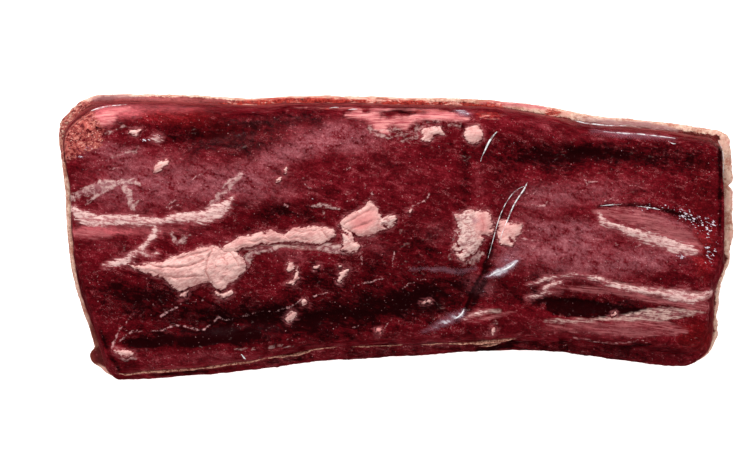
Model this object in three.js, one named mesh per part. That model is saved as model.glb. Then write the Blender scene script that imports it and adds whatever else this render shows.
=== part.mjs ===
// A boneless raw lamb loin: a flat block of dark lean meat, cut straight at both ends,
// lying on the pale fat that covers its back. Millimetres, +X along the loin, +Y to its far
// side, +Z up. The origin is on the surface it lies on, under the middle of its outline.
//
// Both pieces are closed skins of the same kind: a grid across the top, rings of points down
// the walls, and a grid across the underside. A grid point is placed by two numbers from -1
// to 1: `along` runs from the left end to the right one, `across` from the near edge to the far.
import * as THREE from 'three';

// Driving dimensions
const LENGTH = 233; // over the rim of fat, end to end
const WIDTH = 100; // over the rim of fat, at the wide left end
const FAT_THICKNESS = 6.5; // under the middle of the loin
const GAP = 0.3; // between the lean and the fat under it

// How far each edge of the outline stands in from the LENGTH x WIDTH box, as [where along the
// edge, millimetres]. The right end is narrower, and the left end leans in towards the viewer.
const FAR_EDGE = [[-1, 1], [-0.7, 1], [-0.43, 2.2], [-0.3, 1.4], [0, 1.9], [0.31, 3.1], [0.45, 5.2],
  [0.6, 8.2], [0.84, 11], [1, 14]];
const NEAR_EDGE = [[-1, -1], [-0.83, -0.3], [-0.58, 1.7], [-0.32, 5.2], [0, 7.2], [0.27, 8.8], [0.5, 8.4],
  [0.77, 4.7], [0.87, 3.8], [1, 4]];
const LEFT_EDGE = [[-1, 16.3], [-0.69, 11.8], [-0.36, 6.4], [0, 3.5], [0.35, 2.4], [0.62, 0.6], [0.82, 0.2],
  [1, 1]];
const RIGHT_EDGE = [[-1, 6.4], [-0.77, 6.4], [-0.35, 5.2], [-0.15, 2.2], [0.06, 1], [0.49, 0.6], [0.8, 1.2],
  [1, 1.4]];
const CORNER_RADIUS = { nearLeft: 4, nearRight: 10, farLeft: 15, farRight: 4 };

// The lean's walls, side by side: how far the wall stands in from the outline at its top and at
// its foot, how far it swells in between, and the radius of the shoulder over it.
const WALLS = {
  left: { top: 6.2, foot: 4.4, swell: 0.8, shoulder: 2.6 },
  right: { top: 6, foot: 4.2, swell: 0.6, shoulder: 2.4 },
  near: { top: 1.6, foot: 1.8, swell: 1.6, shoulder: 3.4 },
  far: { top: 7.6, foot: 4.2, swell: 0.9, shoulder: 8 },
};
// The near wall is two muscles deep. The upper one stands back from the lower by the ledge, as
// [where along the edge, millimetres], and a groove runs between them.
const LEDGE = [[-1, 0.2], [-0.65, 0.6], [-0.35, 2.4], [-0.05, 2.6], [0.2, 1.2], [0.4, 1.6], [0.65, 3.4],
  [0.9, 3], [1, 1.6]];
const GROOVE = { depth: 1.5, down: 0.4, reach: 0.14 };
// The height of the lean's top above the surface it lies on, along the loin, and how far it
// falls towards the near and far edges
const TOP_HEIGHT = [[-1, 32.5], [-0.6, 34.5], [-0.1, 35], [0.3, 34], [0.7, 32.5], [1, 30.5]];
const NEAR_FALL = 3.2;
const FAR_FALL = 2.6;
// The fat's rim, from the lean's foot outwards and down: [inset from the outline, share of the
// fat's thickness]. Along the near wall the rim stands further in, under the lean.
const FAT_RIM = [[0.9, 0.93], [0.15, 0.76], [0, 0.48], [0.5, 0.2], [1.5, 0.04]];
const FAT_TOP_INSET = 2.2;
const FAT_FOOT_INSET = 2.6;
const NEAR_FAT_INSET = 2.6;

// Swells (+) and hollows (-) of the top: [x, y, half-length, half-width, turn in degrees, height]
const SWELLS = [
  [-26, 16, 52, 15, 8, 1.7], // the broad swell left of the crossing fold
  [-58, 31, 34, 5, 12, -1.6], // the valley behind it
  [-92, 30, 18, 9, 25, 0.9], // the red corner
  [62, 24, 32, 5.5, -3, -2.4], // the long dark hollow at the right end
  [60, 33, 40, 4.5, -9, 1.2], // the ridge behind that hollow
  [27, 18, 3.2, 21, 4, -1.5], // the crossing fold
  [33, -4, 3, 20, -28, -1.1], // the fold's slanting lower half
  [84, 0, 24, 6, -13, 1.5], // the tongue of muscle at the right end
  [72, -12, 30, 5, -8, 0.9], // the grey muscle next to it
  [64, -26, 20, 3.6, -4, -1.7], // the hollow under the pale seam
  [72, -34, 34, 3.2, -5, 1.1], // the pink band along the near edge
  [-58, -33, 34, 3.4, 2, -2.1], // the dark hollow along the near edge
  [-62, -41, 36, 3.6, 3, 1.0], // the red ridge in front of it
  [10, -30, 32, 6, 4, -1.3], // the hollow in the middle of the near edge
];
// Fat that stands on the lean: [x, y, half-length, half-width, turn in degrees, height]
const FAT_LUMPS = [
  [-74, -13, 15, 4.6, -14, 1.5], // the lobed lump, left half
  [-57, -12, 8.5, 7.2, 30, 1.8], // the lobed lump, right half
  [-32, -3, 17, 3, 13, 1.3], // the ribbon that runs on from it
  [-10, 1, 9, 3.4, 8, 1.4], // the ribbon's torn end
  [-84, 1, 24, 3.4, 2, 0.9], // the long seam from the left end
  [32, 0, 7.5, 6.6, -30, 1.0], // the patch at the crossing fold
  [28, 34, 3.6, 3.8, 0, 0.9], // the nub over the fold
  [82, -6, 17, 2.4, -16, 0.9], // the seam beside the tongue
  [88, -20, 18, 2.2, -6, 0.8], // the lower seam
];

// Mesh counts
const CELLS_ALONG = 50;
const CELLS_ACROSS = 20;
const FAT_CELLS_ALONG = 30;
const FAT_CELLS_ACROSS = 12;
const SHOULDER_RINGS = 3;
const WALL_RINGS = 7;

const SIDES = ['left', 'right', 'near', 'far'];
const mix = (from, to, share) => from + (to - from) * share;
const forEachSide = (value) => Object.fromEntries(SIDES.map((side) => [side, value(side)]));

// The smooth value at t through knots [t, value], as a Hermite curve
function through(knots, t) {
  let i = 1;
  while (i < knots.length - 1 && t > knots[i][0]) i += 1;
  const slope = (k) => {
    const before = knots[Math.max(k - 1, 0)];
    const after = knots[Math.min(k + 1, knots.length - 1)];
    return (after[1] - before[1]) / (after[0] - before[0]);
  };
  const [start, end] = [knots[i - 1], knots[i]];
  const span = end[0] - start[0];
  const s = (t - start[0]) / span;
  const ease = s * s * (3 - 2 * s);
  const bend = span * (slope(i - 1) * s * (1 - s) ** 2 - slope(i) * s * s * (1 - s));
  return mix(start[1], end[1], ease) + bend;
}

// Bends the square corner of a grid into a round one: fromEnd and fromEdge are a point's
// distances from the two edges that meet there, and the result is the same after bending.
function roundCorner(radius, fromEnd, fromEdge) {
  const u = 1 - fromEnd / radius;
  const v = 1 - fromEdge / radius;
  if (u <= 0 || v <= 0) return [fromEnd, fromEdge];
  const reach = radius * Math.max(u, v);
  const angle = u > v ? (Math.PI / 4) * (v / u) : Math.PI / 2 - (Math.PI / 4) * (u / v);
  return [radius - reach * Math.cos(angle), radius - reach * Math.sin(angle)];
}

// The place in plan of (along, across) on an outline that stands `inset` in on each side, and
// behind a share of the ledge on the near one
function plan(along, across, inset, ledge = 0) {
  const left = -LENGTH / 2 + through(LEFT_EDGE, across) + inset.left;
  const right = LENGTH / 2 - through(RIGHT_EDGE, across) - inset.right;
  const near = -WIDTH / 2 + through(NEAR_EDGE, along) + inset.near + ledge * through(LEDGE, along);
  const far = WIDTH / 2 - through(FAR_EDGE, along) - inset.far;
  const corner = (across > 0 ? 'far' : 'near') + (along > 0 ? 'Right' : 'Left');
  const [fromEnd, fromEdge] = roundCorner(
    CORNER_RADIUS[corner],
    ((1 - Math.abs(along)) / 2) * (right - left),
    ((1 - Math.abs(across)) / 2) * (far - near),
  );
  return {
    x: along > 0 ? right - fromEnd : left + fromEnd,
    y: across > 0 ? far - fromEdge : near + fromEdge,
  };
}

// The height at (x, y) of a soft oval mound
function mound([cx, cy, halfLength, halfWidth, turn, height], x, y) {
  const c = Math.cos(THREE.MathUtils.degToRad(turn));
  const s = Math.sin(THREE.MathUtils.degToRad(turn));
  const u = ((x - cx) * c + (y - cy) * s) / halfLength;
  const v = ((y - cy) * c - (x - cx) * s) / halfWidth;
  return height * Math.exp(-(u * u + v * v));
}

const total = (mounds, x, y) => mounds.reduce((sum, each) => sum + mound(each, x, y), 0);

// The lean's top
function topHeight(along, across, x, y) {
  const fall = (across < 0 ? NEAR_FALL : FAR_FALL) * Math.abs(across) ** 3;
  return through(TOP_HEIGHT, along) - fall + total(SWELLS, x, y) + total(FAT_LUMPS, x, y);
}

// The wavy face between the fat and the lean: the fat is thicker along the far edge.
function fatHeight(x, y) {
  return FAT_THICKNESS + 0.045 * y + 0.8 * Math.sin(x / 17) + 0.5 * Math.sin(x / 7.3 + y / 11);
}

// The points round the edge of the grid, as [along, across], near edge first, anticlockwise
function rimOf(cellsAlong, cellsAcross) {
  const rim = [];
  for (let i = 0; i < cellsAlong; i += 1) rim.push([i, 0]);
  for (let j = 0; j < cellsAcross; j += 1) rim.push([cellsAlong, j]);
  for (let i = cellsAlong; i > 0; i -= 1) rim.push([i, cellsAcross]);
  for (let j = cellsAcross; j > 0; j -= 1) rim.push([0, j]);
  return rim.map(([i, j]) => [(2 * i) / cellsAlong - 1, (2 * j) / cellsAcross - 1]);
}

// A closed skin. top and bottom place a grid point, each wall places a rim point of one ring,
// from the top down: all return [x, y, z].
function closedSkin(cellsAlong, cellsAcross, top, bottom, walls) {
  const points = [];
  const faces = [];
  const add = (point) => points.push(...point) / 3 - 1;
  const quad = (a, b, c, d) => faces.push(a, b, c, a, c, d);
  const rim = rimOf(cellsAlong, cellsAcross);

  // A grid, and the numbers of the points round its edge in the rim's order
  const grid = (place, facingUp) => {
    const at = [];
    for (let j = 0; j <= cellsAcross; j += 1) {
      for (let i = 0; i <= cellsAlong; i += 1) {
        at.push(add(place((2 * i) / cellsAlong - 1, (2 * j) / cellsAcross - 1)));
      }
    }
    const index = (i, j) => at[j * (cellsAlong + 1) + i];
    for (let j = 0; j < cellsAcross; j += 1) {
      for (let i = 0; i < cellsAlong; i += 1) {
        const corners = [index(i, j), index(i + 1, j), index(i + 1, j + 1), index(i, j + 1)];
        quad(...(facingUp ? corners : corners.reverse()));
      }
    }
    return rim.map(([along, across]) => index(
      Math.round(((along + 1) * cellsAlong) / 2),
      Math.round(((across + 1) * cellsAcross) / 2),
    ));
  };

  const rings = [
    grid(top, true),
    ...walls.map((wall) => rim.map(([along, across]) => add(wall(along, across)))),
    grid(bottom, false),
  ];
  for (let r = 1; r < rings.length; r += 1) {
    const [upper, lower] = [rings[r - 1], rings[r]];
    for (let k = 0; k < rim.length; k += 1) {
      const next = (k + 1) % rim.length;
      quad(lower[k], lower[next], upper[next], upper[k]);
    }
  }

  const geometry = new THREE.BufferGeometry();
  geometry.setAttribute('position', new THREE.Float32BufferAttribute(points, 3));
  geometry.setIndex(faces);
  geometry.computeVertexNormals();
  return geometry;
}

// The drop of the shoulder at a rim point: near a corner, two sides share it.
function shoulderAt(along, across) {
  const ends = Math.abs(along) ** 22;
  const edges = Math.abs(across) ** 9;
  const end = WALLS[along > 0 ? 'right' : 'left'].shoulder;
  const edge = WALLS[across > 0 ? 'far' : 'near'].shoulder;
  return (end * ends + edge * edges) / (ends + edges);
}

const leanTopInset = forEachSide((side) => WALLS[side].top + WALLS[side].shoulder);

function leanTop(along, across) {
  const { x, y } = plan(along, across, leanTopInset, 1);
  return [x, y, topHeight(along, across, x, y)];
}

// The top's edge turns over a shoulder into the wall.
function leanShoulder(angle) {
  const inset = forEachSide((side) => WALLS[side].top + WALLS[side].shoulder * (1 - Math.sin(angle)));
  return (along, across) => {
    const { x, y } = plan(along, across, inset, 1);
    return [x, y, leanTop(along, across)[2] - shoulderAt(along, across) * (1 - Math.cos(angle))];
  };
}

// The wall from the shoulder (down = 0) to the lean's foot (down = 1)
function leanWall(down) {
  const groove = GROOVE.depth * Math.exp(-(((down - GROOVE.down) / GROOVE.reach) ** 2));
  const ledge = 1 - THREE.MathUtils.smoothstep(down, GROOVE.down, GROOVE.down + GROOVE.reach);
  const inset = forEachSide((side) => {
    const { top, foot, swell } = WALLS[side];
    return mix(top, foot, down) - swell * Math.sin(Math.PI * down) + (side === 'near' ? groove : 0);
  });
  return (along, across) => {
    const { x, y } = plan(along, across, inset, ledge);
    const upper = leanTop(along, across)[2] - shoulderAt(along, across);
    return [x, y, mix(upper, fatHeight(x, y) + GAP, down)];
  };
}

function makeLean() {
  const footInset = forEachSide((side) => WALLS[side].foot);
  const walls = [];
  for (let k = 1; k <= SHOULDER_RINGS; k += 1) walls.push(leanShoulder((Math.PI / 2) * (k / SHOULDER_RINGS)));
  for (let k = 1; k < WALL_RINGS; k += 1) walls.push(leanWall(k / WALL_RINGS));
  return closedSkin(CELLS_ALONG, CELLS_ACROSS, leanTop, (along, across) => {
    const { x, y } = plan(along, across, footInset);
    return [x, y, fatHeight(x, y) + GAP];
  }, walls);
}

function makeFat() {
  const inset = (outward) => forEachSide((side) => outward + (side === 'near' ? NEAR_FAT_INSET : 0));
  const place = (outward, share) => (along, across) => {
    const { x, y } = plan(along, across, inset(outward));
    return [x, y, fatHeight(x, y) * share];
  };
  return closedSkin(
    FAT_CELLS_ALONG,
    FAT_CELLS_ACROSS,
    place(FAT_TOP_INSET, 1),
    place(FAT_FOOT_INSET, 0),
    FAT_RIM.map(([outward, share]) => place(outward, share)),
  );
}

function meat(name, geometry, color, roughness) {
  const mesh = new THREE.Mesh(geometry, new THREE.MeshStandardMaterial({ color, roughness, metalness: 0 }));
  mesh.name = name;
  return mesh;
}

const loin = new THREE.Group();
loin.add(meat('lean', makeLean(), 0x6b1a26, 0.35));
loin.add(meat('fat_cap', makeFat(), 0xe6c8b4, 0.45));

// The edges stand in unevenly, so the outline is moved until its middle is over the origin.
const middle = new THREE.Box3().setFromObject(loin).getCenter(new THREE.Vector3());
loin.position.set(-middle.x, -middle.y, 0);

export default loin;
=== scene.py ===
"""A boneless raw lamb loin in clear skin-tight film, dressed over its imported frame.

Sizes are in millimetres until a mesh is made, and the frame's axes are the part's: +X along the
loin, +Y to its far side, +Z up. The meat's skins start as flat grids whose border is drawn down
ring by ring. A grid point is placed by two numbers from -1 to 1: u runs from the left end to the
right one, and v from the near edge to the far. What lies on the meat is placed by the pixel of
the 752 x 475 photograph that shows it, and sits on the surface found there.
"""
import math

import bpy
import numpy as np
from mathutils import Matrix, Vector
from mathutils.bvhtree import BVHTree


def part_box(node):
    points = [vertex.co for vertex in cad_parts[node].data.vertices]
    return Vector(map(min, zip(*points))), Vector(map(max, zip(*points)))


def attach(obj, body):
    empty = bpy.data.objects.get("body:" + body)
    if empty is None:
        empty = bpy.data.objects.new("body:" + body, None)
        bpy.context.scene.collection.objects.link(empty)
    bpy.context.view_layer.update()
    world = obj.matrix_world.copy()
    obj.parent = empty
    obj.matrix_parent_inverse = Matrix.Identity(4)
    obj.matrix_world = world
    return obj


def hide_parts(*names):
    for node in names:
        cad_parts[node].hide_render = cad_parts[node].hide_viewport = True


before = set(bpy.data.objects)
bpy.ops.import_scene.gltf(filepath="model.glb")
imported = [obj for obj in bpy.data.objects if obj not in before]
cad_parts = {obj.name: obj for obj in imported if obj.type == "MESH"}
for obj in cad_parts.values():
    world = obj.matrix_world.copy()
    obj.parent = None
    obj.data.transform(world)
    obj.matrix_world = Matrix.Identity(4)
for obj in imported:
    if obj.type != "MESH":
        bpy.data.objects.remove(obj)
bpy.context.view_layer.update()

MM = 0.001  # metres

# ---------------------------------------------------------------- driving sizes, millimetres
LENGTH = 233
WIDTH = 100
FAT_THICKNESS = 6.5
GAP = 0.3
# How far each edge of the outline stands in from the LENGTH x WIDTH box: (where along it, mm)
FAR_EDGE = (
    (-1, 1), (-0.7, 1), (-0.43, 2.2), (-0.3, 1.4), (0, 1.9), (0.31, 3.1), (0.45, 5.2), (0.6, 8.2),
    (0.84, 11), (1, 14),
)
NEAR_EDGE = (
    (-1, -1), (-0.83, -0.3), (-0.58, 1.7), (-0.32, 5.2), (0, 7.2), (0.27, 8.8), (0.5, 8.4), (0.77, 4.7),
    (0.87, 3.8), (1, 4),
)
LEFT_EDGE = (
    (-1, 16.3), (-0.69, 11.8), (-0.36, 6.4), (0, 3.5), (0.35, 2.4), (0.62, 0.6), (0.82, 0.2), (1, 1),
)
RIGHT_EDGE = (
    (-1, 6.4), (-0.77, 6.4), (-0.35, 5.2), (-0.15, 2.2), (0.06, 1), (0.49, 0.6), (0.8, 1.2), (1, 1.4),
)
CORNER_RADIUS = {"near_left": 4, "near_right": 10, "far_left": 15, "far_right": 4}
# The lean's walls: how far in they stand at the top and the foot, their swell, their shoulder
WALLS = {
    "left": (3.8, 4.0, 0.7, 2.2),
    "right": (4.8, 4.2, 0.6, 1.8),
    "near": (1.6, 1.8, 1.6, 3.4),
    "far": (7.6, 4.2, 0.9, 8),
}
LEDGE = (
    (-1, 0.2), (-0.65, 0.6), (-0.35, 2.4), (-0.05, 2.6), (0.2, 1.2), (0.4, 1.6), (0.65, 3.4), (0.9, 3),
    (1, 1.6),
)
FLARE = 2.3  # how far the meat's skin runs out at its foot, over the fat, where no bare rim shows
FLARE_SHARE = {"left": 0.6, "far": 0.5}
UNDER_INSET = 5  # how far the ring under the foot stands in
GROOVE_DEPTH, GROOVE_DOWN, GROOVE_REACH = 1.5, 0.4, 0.14
TOP_HEIGHT = ((-1, 32.5), (-0.6, 34.5), (-0.1, 35), (0.3, 34), (0.7, 32.5), (1, 30.5))
NEAR_FALL, FAR_FALL = 3.2, 2.6
FAT_SLOPE = 0.045  # how much thicker the fat gets for each mm towards its far side
FAT_SWELL = (0.8, 17)  # height, and how many mm go to one radian of it
FAT_RIPPLE = (0.5, 7.3, 11)  # the same, along and across
FAT_RIM = ((0, 2.2), (0.18, 0.9), (0.42, 0.15), (0.62, 0), (0.84, 0.5), (1, 2.6))  # (way down, inset)
FAT_RIM_HEIGHT = ((0, 1), (0.18, 0.93), (0.42, 0.76), (0.62, 0.48), (0.84, 0.2), (1, 0))
NEAR_FAT_INSET = 2.6
RIM_ROUGHNESS = 0.8
NOTCH = (17.5, 0.9, 1.6)  # where the right rim is nicked, half how wide and how deep
TAIL = (-42, 2.8, 2.8)  # a flap of rim at the left: where, half how wide and how far out
UNDERSIDE_LIFT = 0.15
FILM_GAP = 0.3
FLOOR_GAP = 0.02
FILM_FILLET = 0.7  # how far the film stands off the foot of the lean's wall
FILM_BRIDGES = 60  # smoothing rounds: what is narrower than this is spanned
PAD_ROOT = 0.9  # how deep a pad's flat underside lies in the meat
# Swells and hollows of the top: x, y, half length, half width, turn in degrees, height
SWELLS = (
    (-26, 16, 52, 15, 8, 1.7), (-58, 31, 34, 5, 12, -1.6), (-92, 30, 18, 9, 25, 0.9),
    (62, 24, 32, 5.5, -3, -2.4), (60, 33, 40, 4.5, -9, 1.2), (27, 18, 3.2, 21, 4, -1.5),
    (33, -4, 3, 20, -28, -1.1), (84, 0, 24, 6, -13, 1.5), (72, -12, 30, 5, -8, 0.9),
    (64, -26, 20, 3.6, -4, -1.7), (72, -34, 34, 3.2, -5, 1.1), (-58, -33, 34, 3.4, 2, -2.1),
    (-62, -41, 36, 3.6, 3, 1.0), (10, -30, 32, 6, 4, -1.3),
)

# ---------------------------------------------------------------- the photograph's view
PHOTO = (752, 475)
VIEW_ELEVATION = math.radians(82)
VIEW_DISTANCE = 1400
PIXELS_PER_MM = 2.935  # at the point looked at
LOOKED_AT = np.array((-6.81, -2.5, 18.0))
VIEW_BACK = np.array((0, -math.cos(VIEW_ELEVATION), math.sin(VIEW_ELEVATION)))
VIEW_UP = np.array((0, math.sin(VIEW_ELEVATION), math.cos(VIEW_ELEVATION)))
SENSOR = 36

# ---------------------------------------------------------------- meshes
MESH_COUNTS = {"lean": (400, 165), "fat": (270, 114), "film": (330, 140)}
SHOULDER_RINGS = 5
WALL_RINGS = 12
RIM_RINGS = 18
BORDER = 0.999  # of u or v, from which on a grid point lies on the outline
DOWN = Vector((0, 0, -1))
# In pixels of the photograph
LIP_SPACING = 3
PAD_CELL = 0.85
PAD_MARGIN = 9  # round its middle line or outline
PAD_FRAY = 1.2  # how far its frayed edge runs out beyond its outline
PAD_EDGE = 2.6  # how far beyond its outline it ends, under the meat's skin
FAR_OFF = 99.0  # farther than any edge that matters
EDGE_REACH = 12

# ---------------------------------------------------------------- the stage
LIGHT_DISTANCE = 1.6  # metres
FLOOR_SIZE = 8  # metres
FLOOR_GREY, FLOOR_ROUGHNESS, FLOOR_GLOW = 0.9, 0.9, 0.8
SKY_STRENGTH = 0.8
CLIP = (0.01, 20)  # metres


# ---------------------------------------------------------------- curves and noise
def through(knots, t):
    """The smooth curve through the knots (where, value), at each t."""
    at, value = np.array(knots, float).T
    last = len(at) - 1
    before = np.maximum(np.arange(last + 1) - 1, 0)
    after = np.minimum(np.arange(last + 1) + 1, last)
    slope = (value[after] - value[before]) / (at[after] - at[before])
    i = np.clip(np.searchsorted(at, t), 1, last)
    span = at[i] - at[i - 1]
    s = (t - at[i - 1]) / span
    ease = s * s * (3 - 2 * s)
    bend = span * (slope[i - 1] * s * (1 - s) ** 2 - slope[i] * s * s * (1 - s))
    return value[i - 1] + (value[i] - value[i - 1]) * ease + bend


def step(low, high, x):
    """0 up to low, 1 from high on, and smooth in between. High may be the lower one."""
    t = np.clip((x - low) / (high - low), 0, 1)
    return t * t * (3 - 2 * t)


def lattice(i, j, seed):
    """A number from -1 to 1 that belongs to a lattice point."""
    n = np.sin(i * 127.1 + j * 311.7 + seed * 74.7) * 43758.5453
    return 2 * (n - np.floor(n)) - 1


def noise(x, y, size, seed=0, octaves=3):
    """Smooth noise from about -1 to 1, whose largest bumps are `size` across."""
    total, weight = 0, 0
    for octave in range(octaves):
        a, b = x / size * 2**octave, y / size * 2**octave
        i, j = np.floor(a), np.floor(b)
        s, t = a - i, b - j
        s, t = s * s * (3 - 2 * s), t * t * (3 - 2 * t)
        k = seed + 17 * octave
        low = lattice(i, j, k) * (1 - s) + lattice(i + 1, j, k) * s
        high = lattice(i, j + 1, k) * (1 - s) + lattice(i + 1, j + 1, k) * s
        total = total + (low * (1 - t) + high * t) / 2**octave
        weight += 1 / 2**octave
    return total / weight


# ---------------------------------------------------------------- the meat's form
def round_corner(radius, from_end, from_edge):
    """Bends the square corner of a grid into a round one."""
    u, v = 1 - from_end / radius, 1 - from_edge / radius
    inside = (u > 0) & (v > 0)
    us, vs = np.where(inside, u, 1), np.where(inside, v, 1)
    reach = radius * np.maximum(us, vs)
    angle = np.where(us > vs, math.pi / 4 * vs / us, math.pi / 2 - math.pi / 4 * us / vs)
    return (np.where(inside, radius - reach * np.cos(angle), from_end),
            np.where(inside, radius - reach * np.sin(angle), from_edge))


def plan(u, v, inset, ledge=0):
    """Where (u, v) lies on an outline that stands in by `inset` on each side."""
    left = -LENGTH / 2 + through(LEFT_EDGE, v) + inset["left"]
    right = LENGTH / 2 - through(RIGHT_EDGE, v) - inset["right"]
    near = -WIDTH / 2 + through(NEAR_EDGE, u) + inset["near"] + ledge * through(LEDGE, u)
    far = WIDTH / 2 - through(FAR_EDGE, u) - inset["far"]
    on_right, on_far = u > 0, v > 0
    radius = np.where(on_far, np.where(on_right, CORNER_RADIUS["far_right"], CORNER_RADIUS["far_left"]),
                      np.where(on_right, CORNER_RADIUS["near_right"], CORNER_RADIUS["near_left"]))
    from_end, from_edge = round_corner(radius, (1 - abs(u)) / 2 * (right - left),
                                       (1 - abs(v)) / 2 * (far - near))
    return (np.where(on_right, right - from_end, left + from_end),
            np.where(on_far, far - from_edge, near + from_edge))


def mounds(shapes, x, y):
    """The height at (x, y) of a row of soft oval mounds."""
    height = 0
    for cx, cy, half_length, half_width, turn, peak in shapes:
        c, s = math.cos(math.radians(turn)), math.sin(math.radians(turn))
        a = ((x - cx) * c + (y - cy) * s) / half_length
        b = ((y - cy) * c - (x - cx) * s) / half_width
        height = height + peak * np.exp(-(a * a + b * b))
    return height


def top_height(u, v, x, y):
    """The height of the lean's top, with its swells."""
    fall = np.where(v < 0, NEAR_FALL, FAR_FALL) * abs(v) ** 3
    return through(TOP_HEIGHT, u) - fall + mounds(SWELLS, x, y)


def fat_height(x, y):
    """The height of the fat's top, on which the lean lies."""
    swell = FAT_SWELL[0] * np.sin(x / FAT_SWELL[1])
    ripple = FAT_RIPPLE[0] * np.sin(x / FAT_RIPPLE[1] + y / FAT_RIPPLE[2])
    return FAT_THICKNESS + FAT_SLOPE * y + swell + ripple


def out_sign(w):
    """Which way is out along u or v: -1 or 1 on the grid's border, and 0 inside it."""
    return np.where(abs(w) > BORDER, np.sign(w), 0)


def shoulder_at(u, v):
    """How wide and deep the round of the shoulder is: its side's own, and between them at corners."""
    ends, edges = abs(u) ** 22, abs(v) ** 9
    end = np.where(u > 0, WALLS["right"][3], WALLS["left"][3])
    edge = np.where(v > 0, WALLS["far"][3], WALLS["near"][3])
    return (end * ends + edge * edges) / (ends + edges + 1e-12)


def photo_of(x, y, z):
    """The photograph's pixel that shows a point."""
    q = np.stack((x, y, z), -1) - LOOKED_AT
    scale = PIXELS_PER_MM * VIEW_DISTANCE / (VIEW_DISTANCE - q @ VIEW_BACK)
    return PHOTO[0] / 2 + scale * q[..., 0], PHOTO[1] / 2 - scale * (q @ VIEW_UP)


def lean_at(u, v, ring):
    """The lean's skin: ring 0 is the top, then come the shoulder's rings and the wall's.
    Returns x, y, z and how far down the wall the point is, from 0 to 1."""
    bend = np.clip(ring / SHOULDER_RINGS, 0, 1) * math.pi / 2
    down = np.clip((ring - SHOULDER_RINGS) / WALL_RINGS, 0, 1)
    groove = GROOVE_DEPTH * np.exp(-(((down - GROOVE_DOWN) / GROOVE_REACH) ** 2)) * (down > 0)
    under = np.clip(ring - SHOULDER_RINGS - WALL_RINGS, 0, None) * UNDER_INSET
    inset = {}
    for side, (top, foot, swell, shoulder) in WALLS.items():
        inset[side] = (top + (foot - top) * down + shoulder * (1 - np.sin(bend))
                       - swell * np.sin(math.pi * down) + under)
    flare = FLARE * step(0.35, 1, down)
    inset["near"] = inset["near"] + groove
    for side, share in FLARE_SHARE.items():
        inset[side] = inset[side] - flare * share
    inset["right"] = inset["right"] - flare * step(0.02, -0.15, v)
    ledge = 1 - step(GROOVE_DOWN, GROOVE_DOWN + GROOVE_REACH, down)
    x, y = plan(u, v, inset, ledge)
    edge = {side: wall[0] + wall[3] for side, wall in WALLS.items()}
    tx, ty = plan(u, v, edge, 1)
    upper = top_height(u, v, tx, ty) - shoulder_at(u, v) * (1 - np.cos(bend)) * (ring > 0)
    z = upper + (fat_height(x, y) + GAP - upper) * down
    return x, y, z, down


def fat_plan(u, v, outward):
    """Where (u, v) lies on the fat's outline, drawn in by `outward` all round."""
    return plan(u, v, {"left": outward, "right": outward, "near": outward + NEAR_FAT_INSET,
                       "far": outward})


def uneven(x, y, z, u, v, down):
    """The walls' soft lumps: where a wall's point lies once it has them."""
    share = step(0, 0.15, down)
    side = 0.5 * noise(x * 0.5, z * 1.4, 4, 63) + 0.25 * noise(x, z * 2, 1.5, 64)
    end = 0.8 * noise(y * 0.5, z, 7, 65, 2) + 0.25 * noise(y, z * 2, 1.5, 66)
    across = side * np.where(v > BORDER, 0.7, np.where(v < -0.5, -1, 0))
    return x + share * end * out_sign(u), y + share * across


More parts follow.
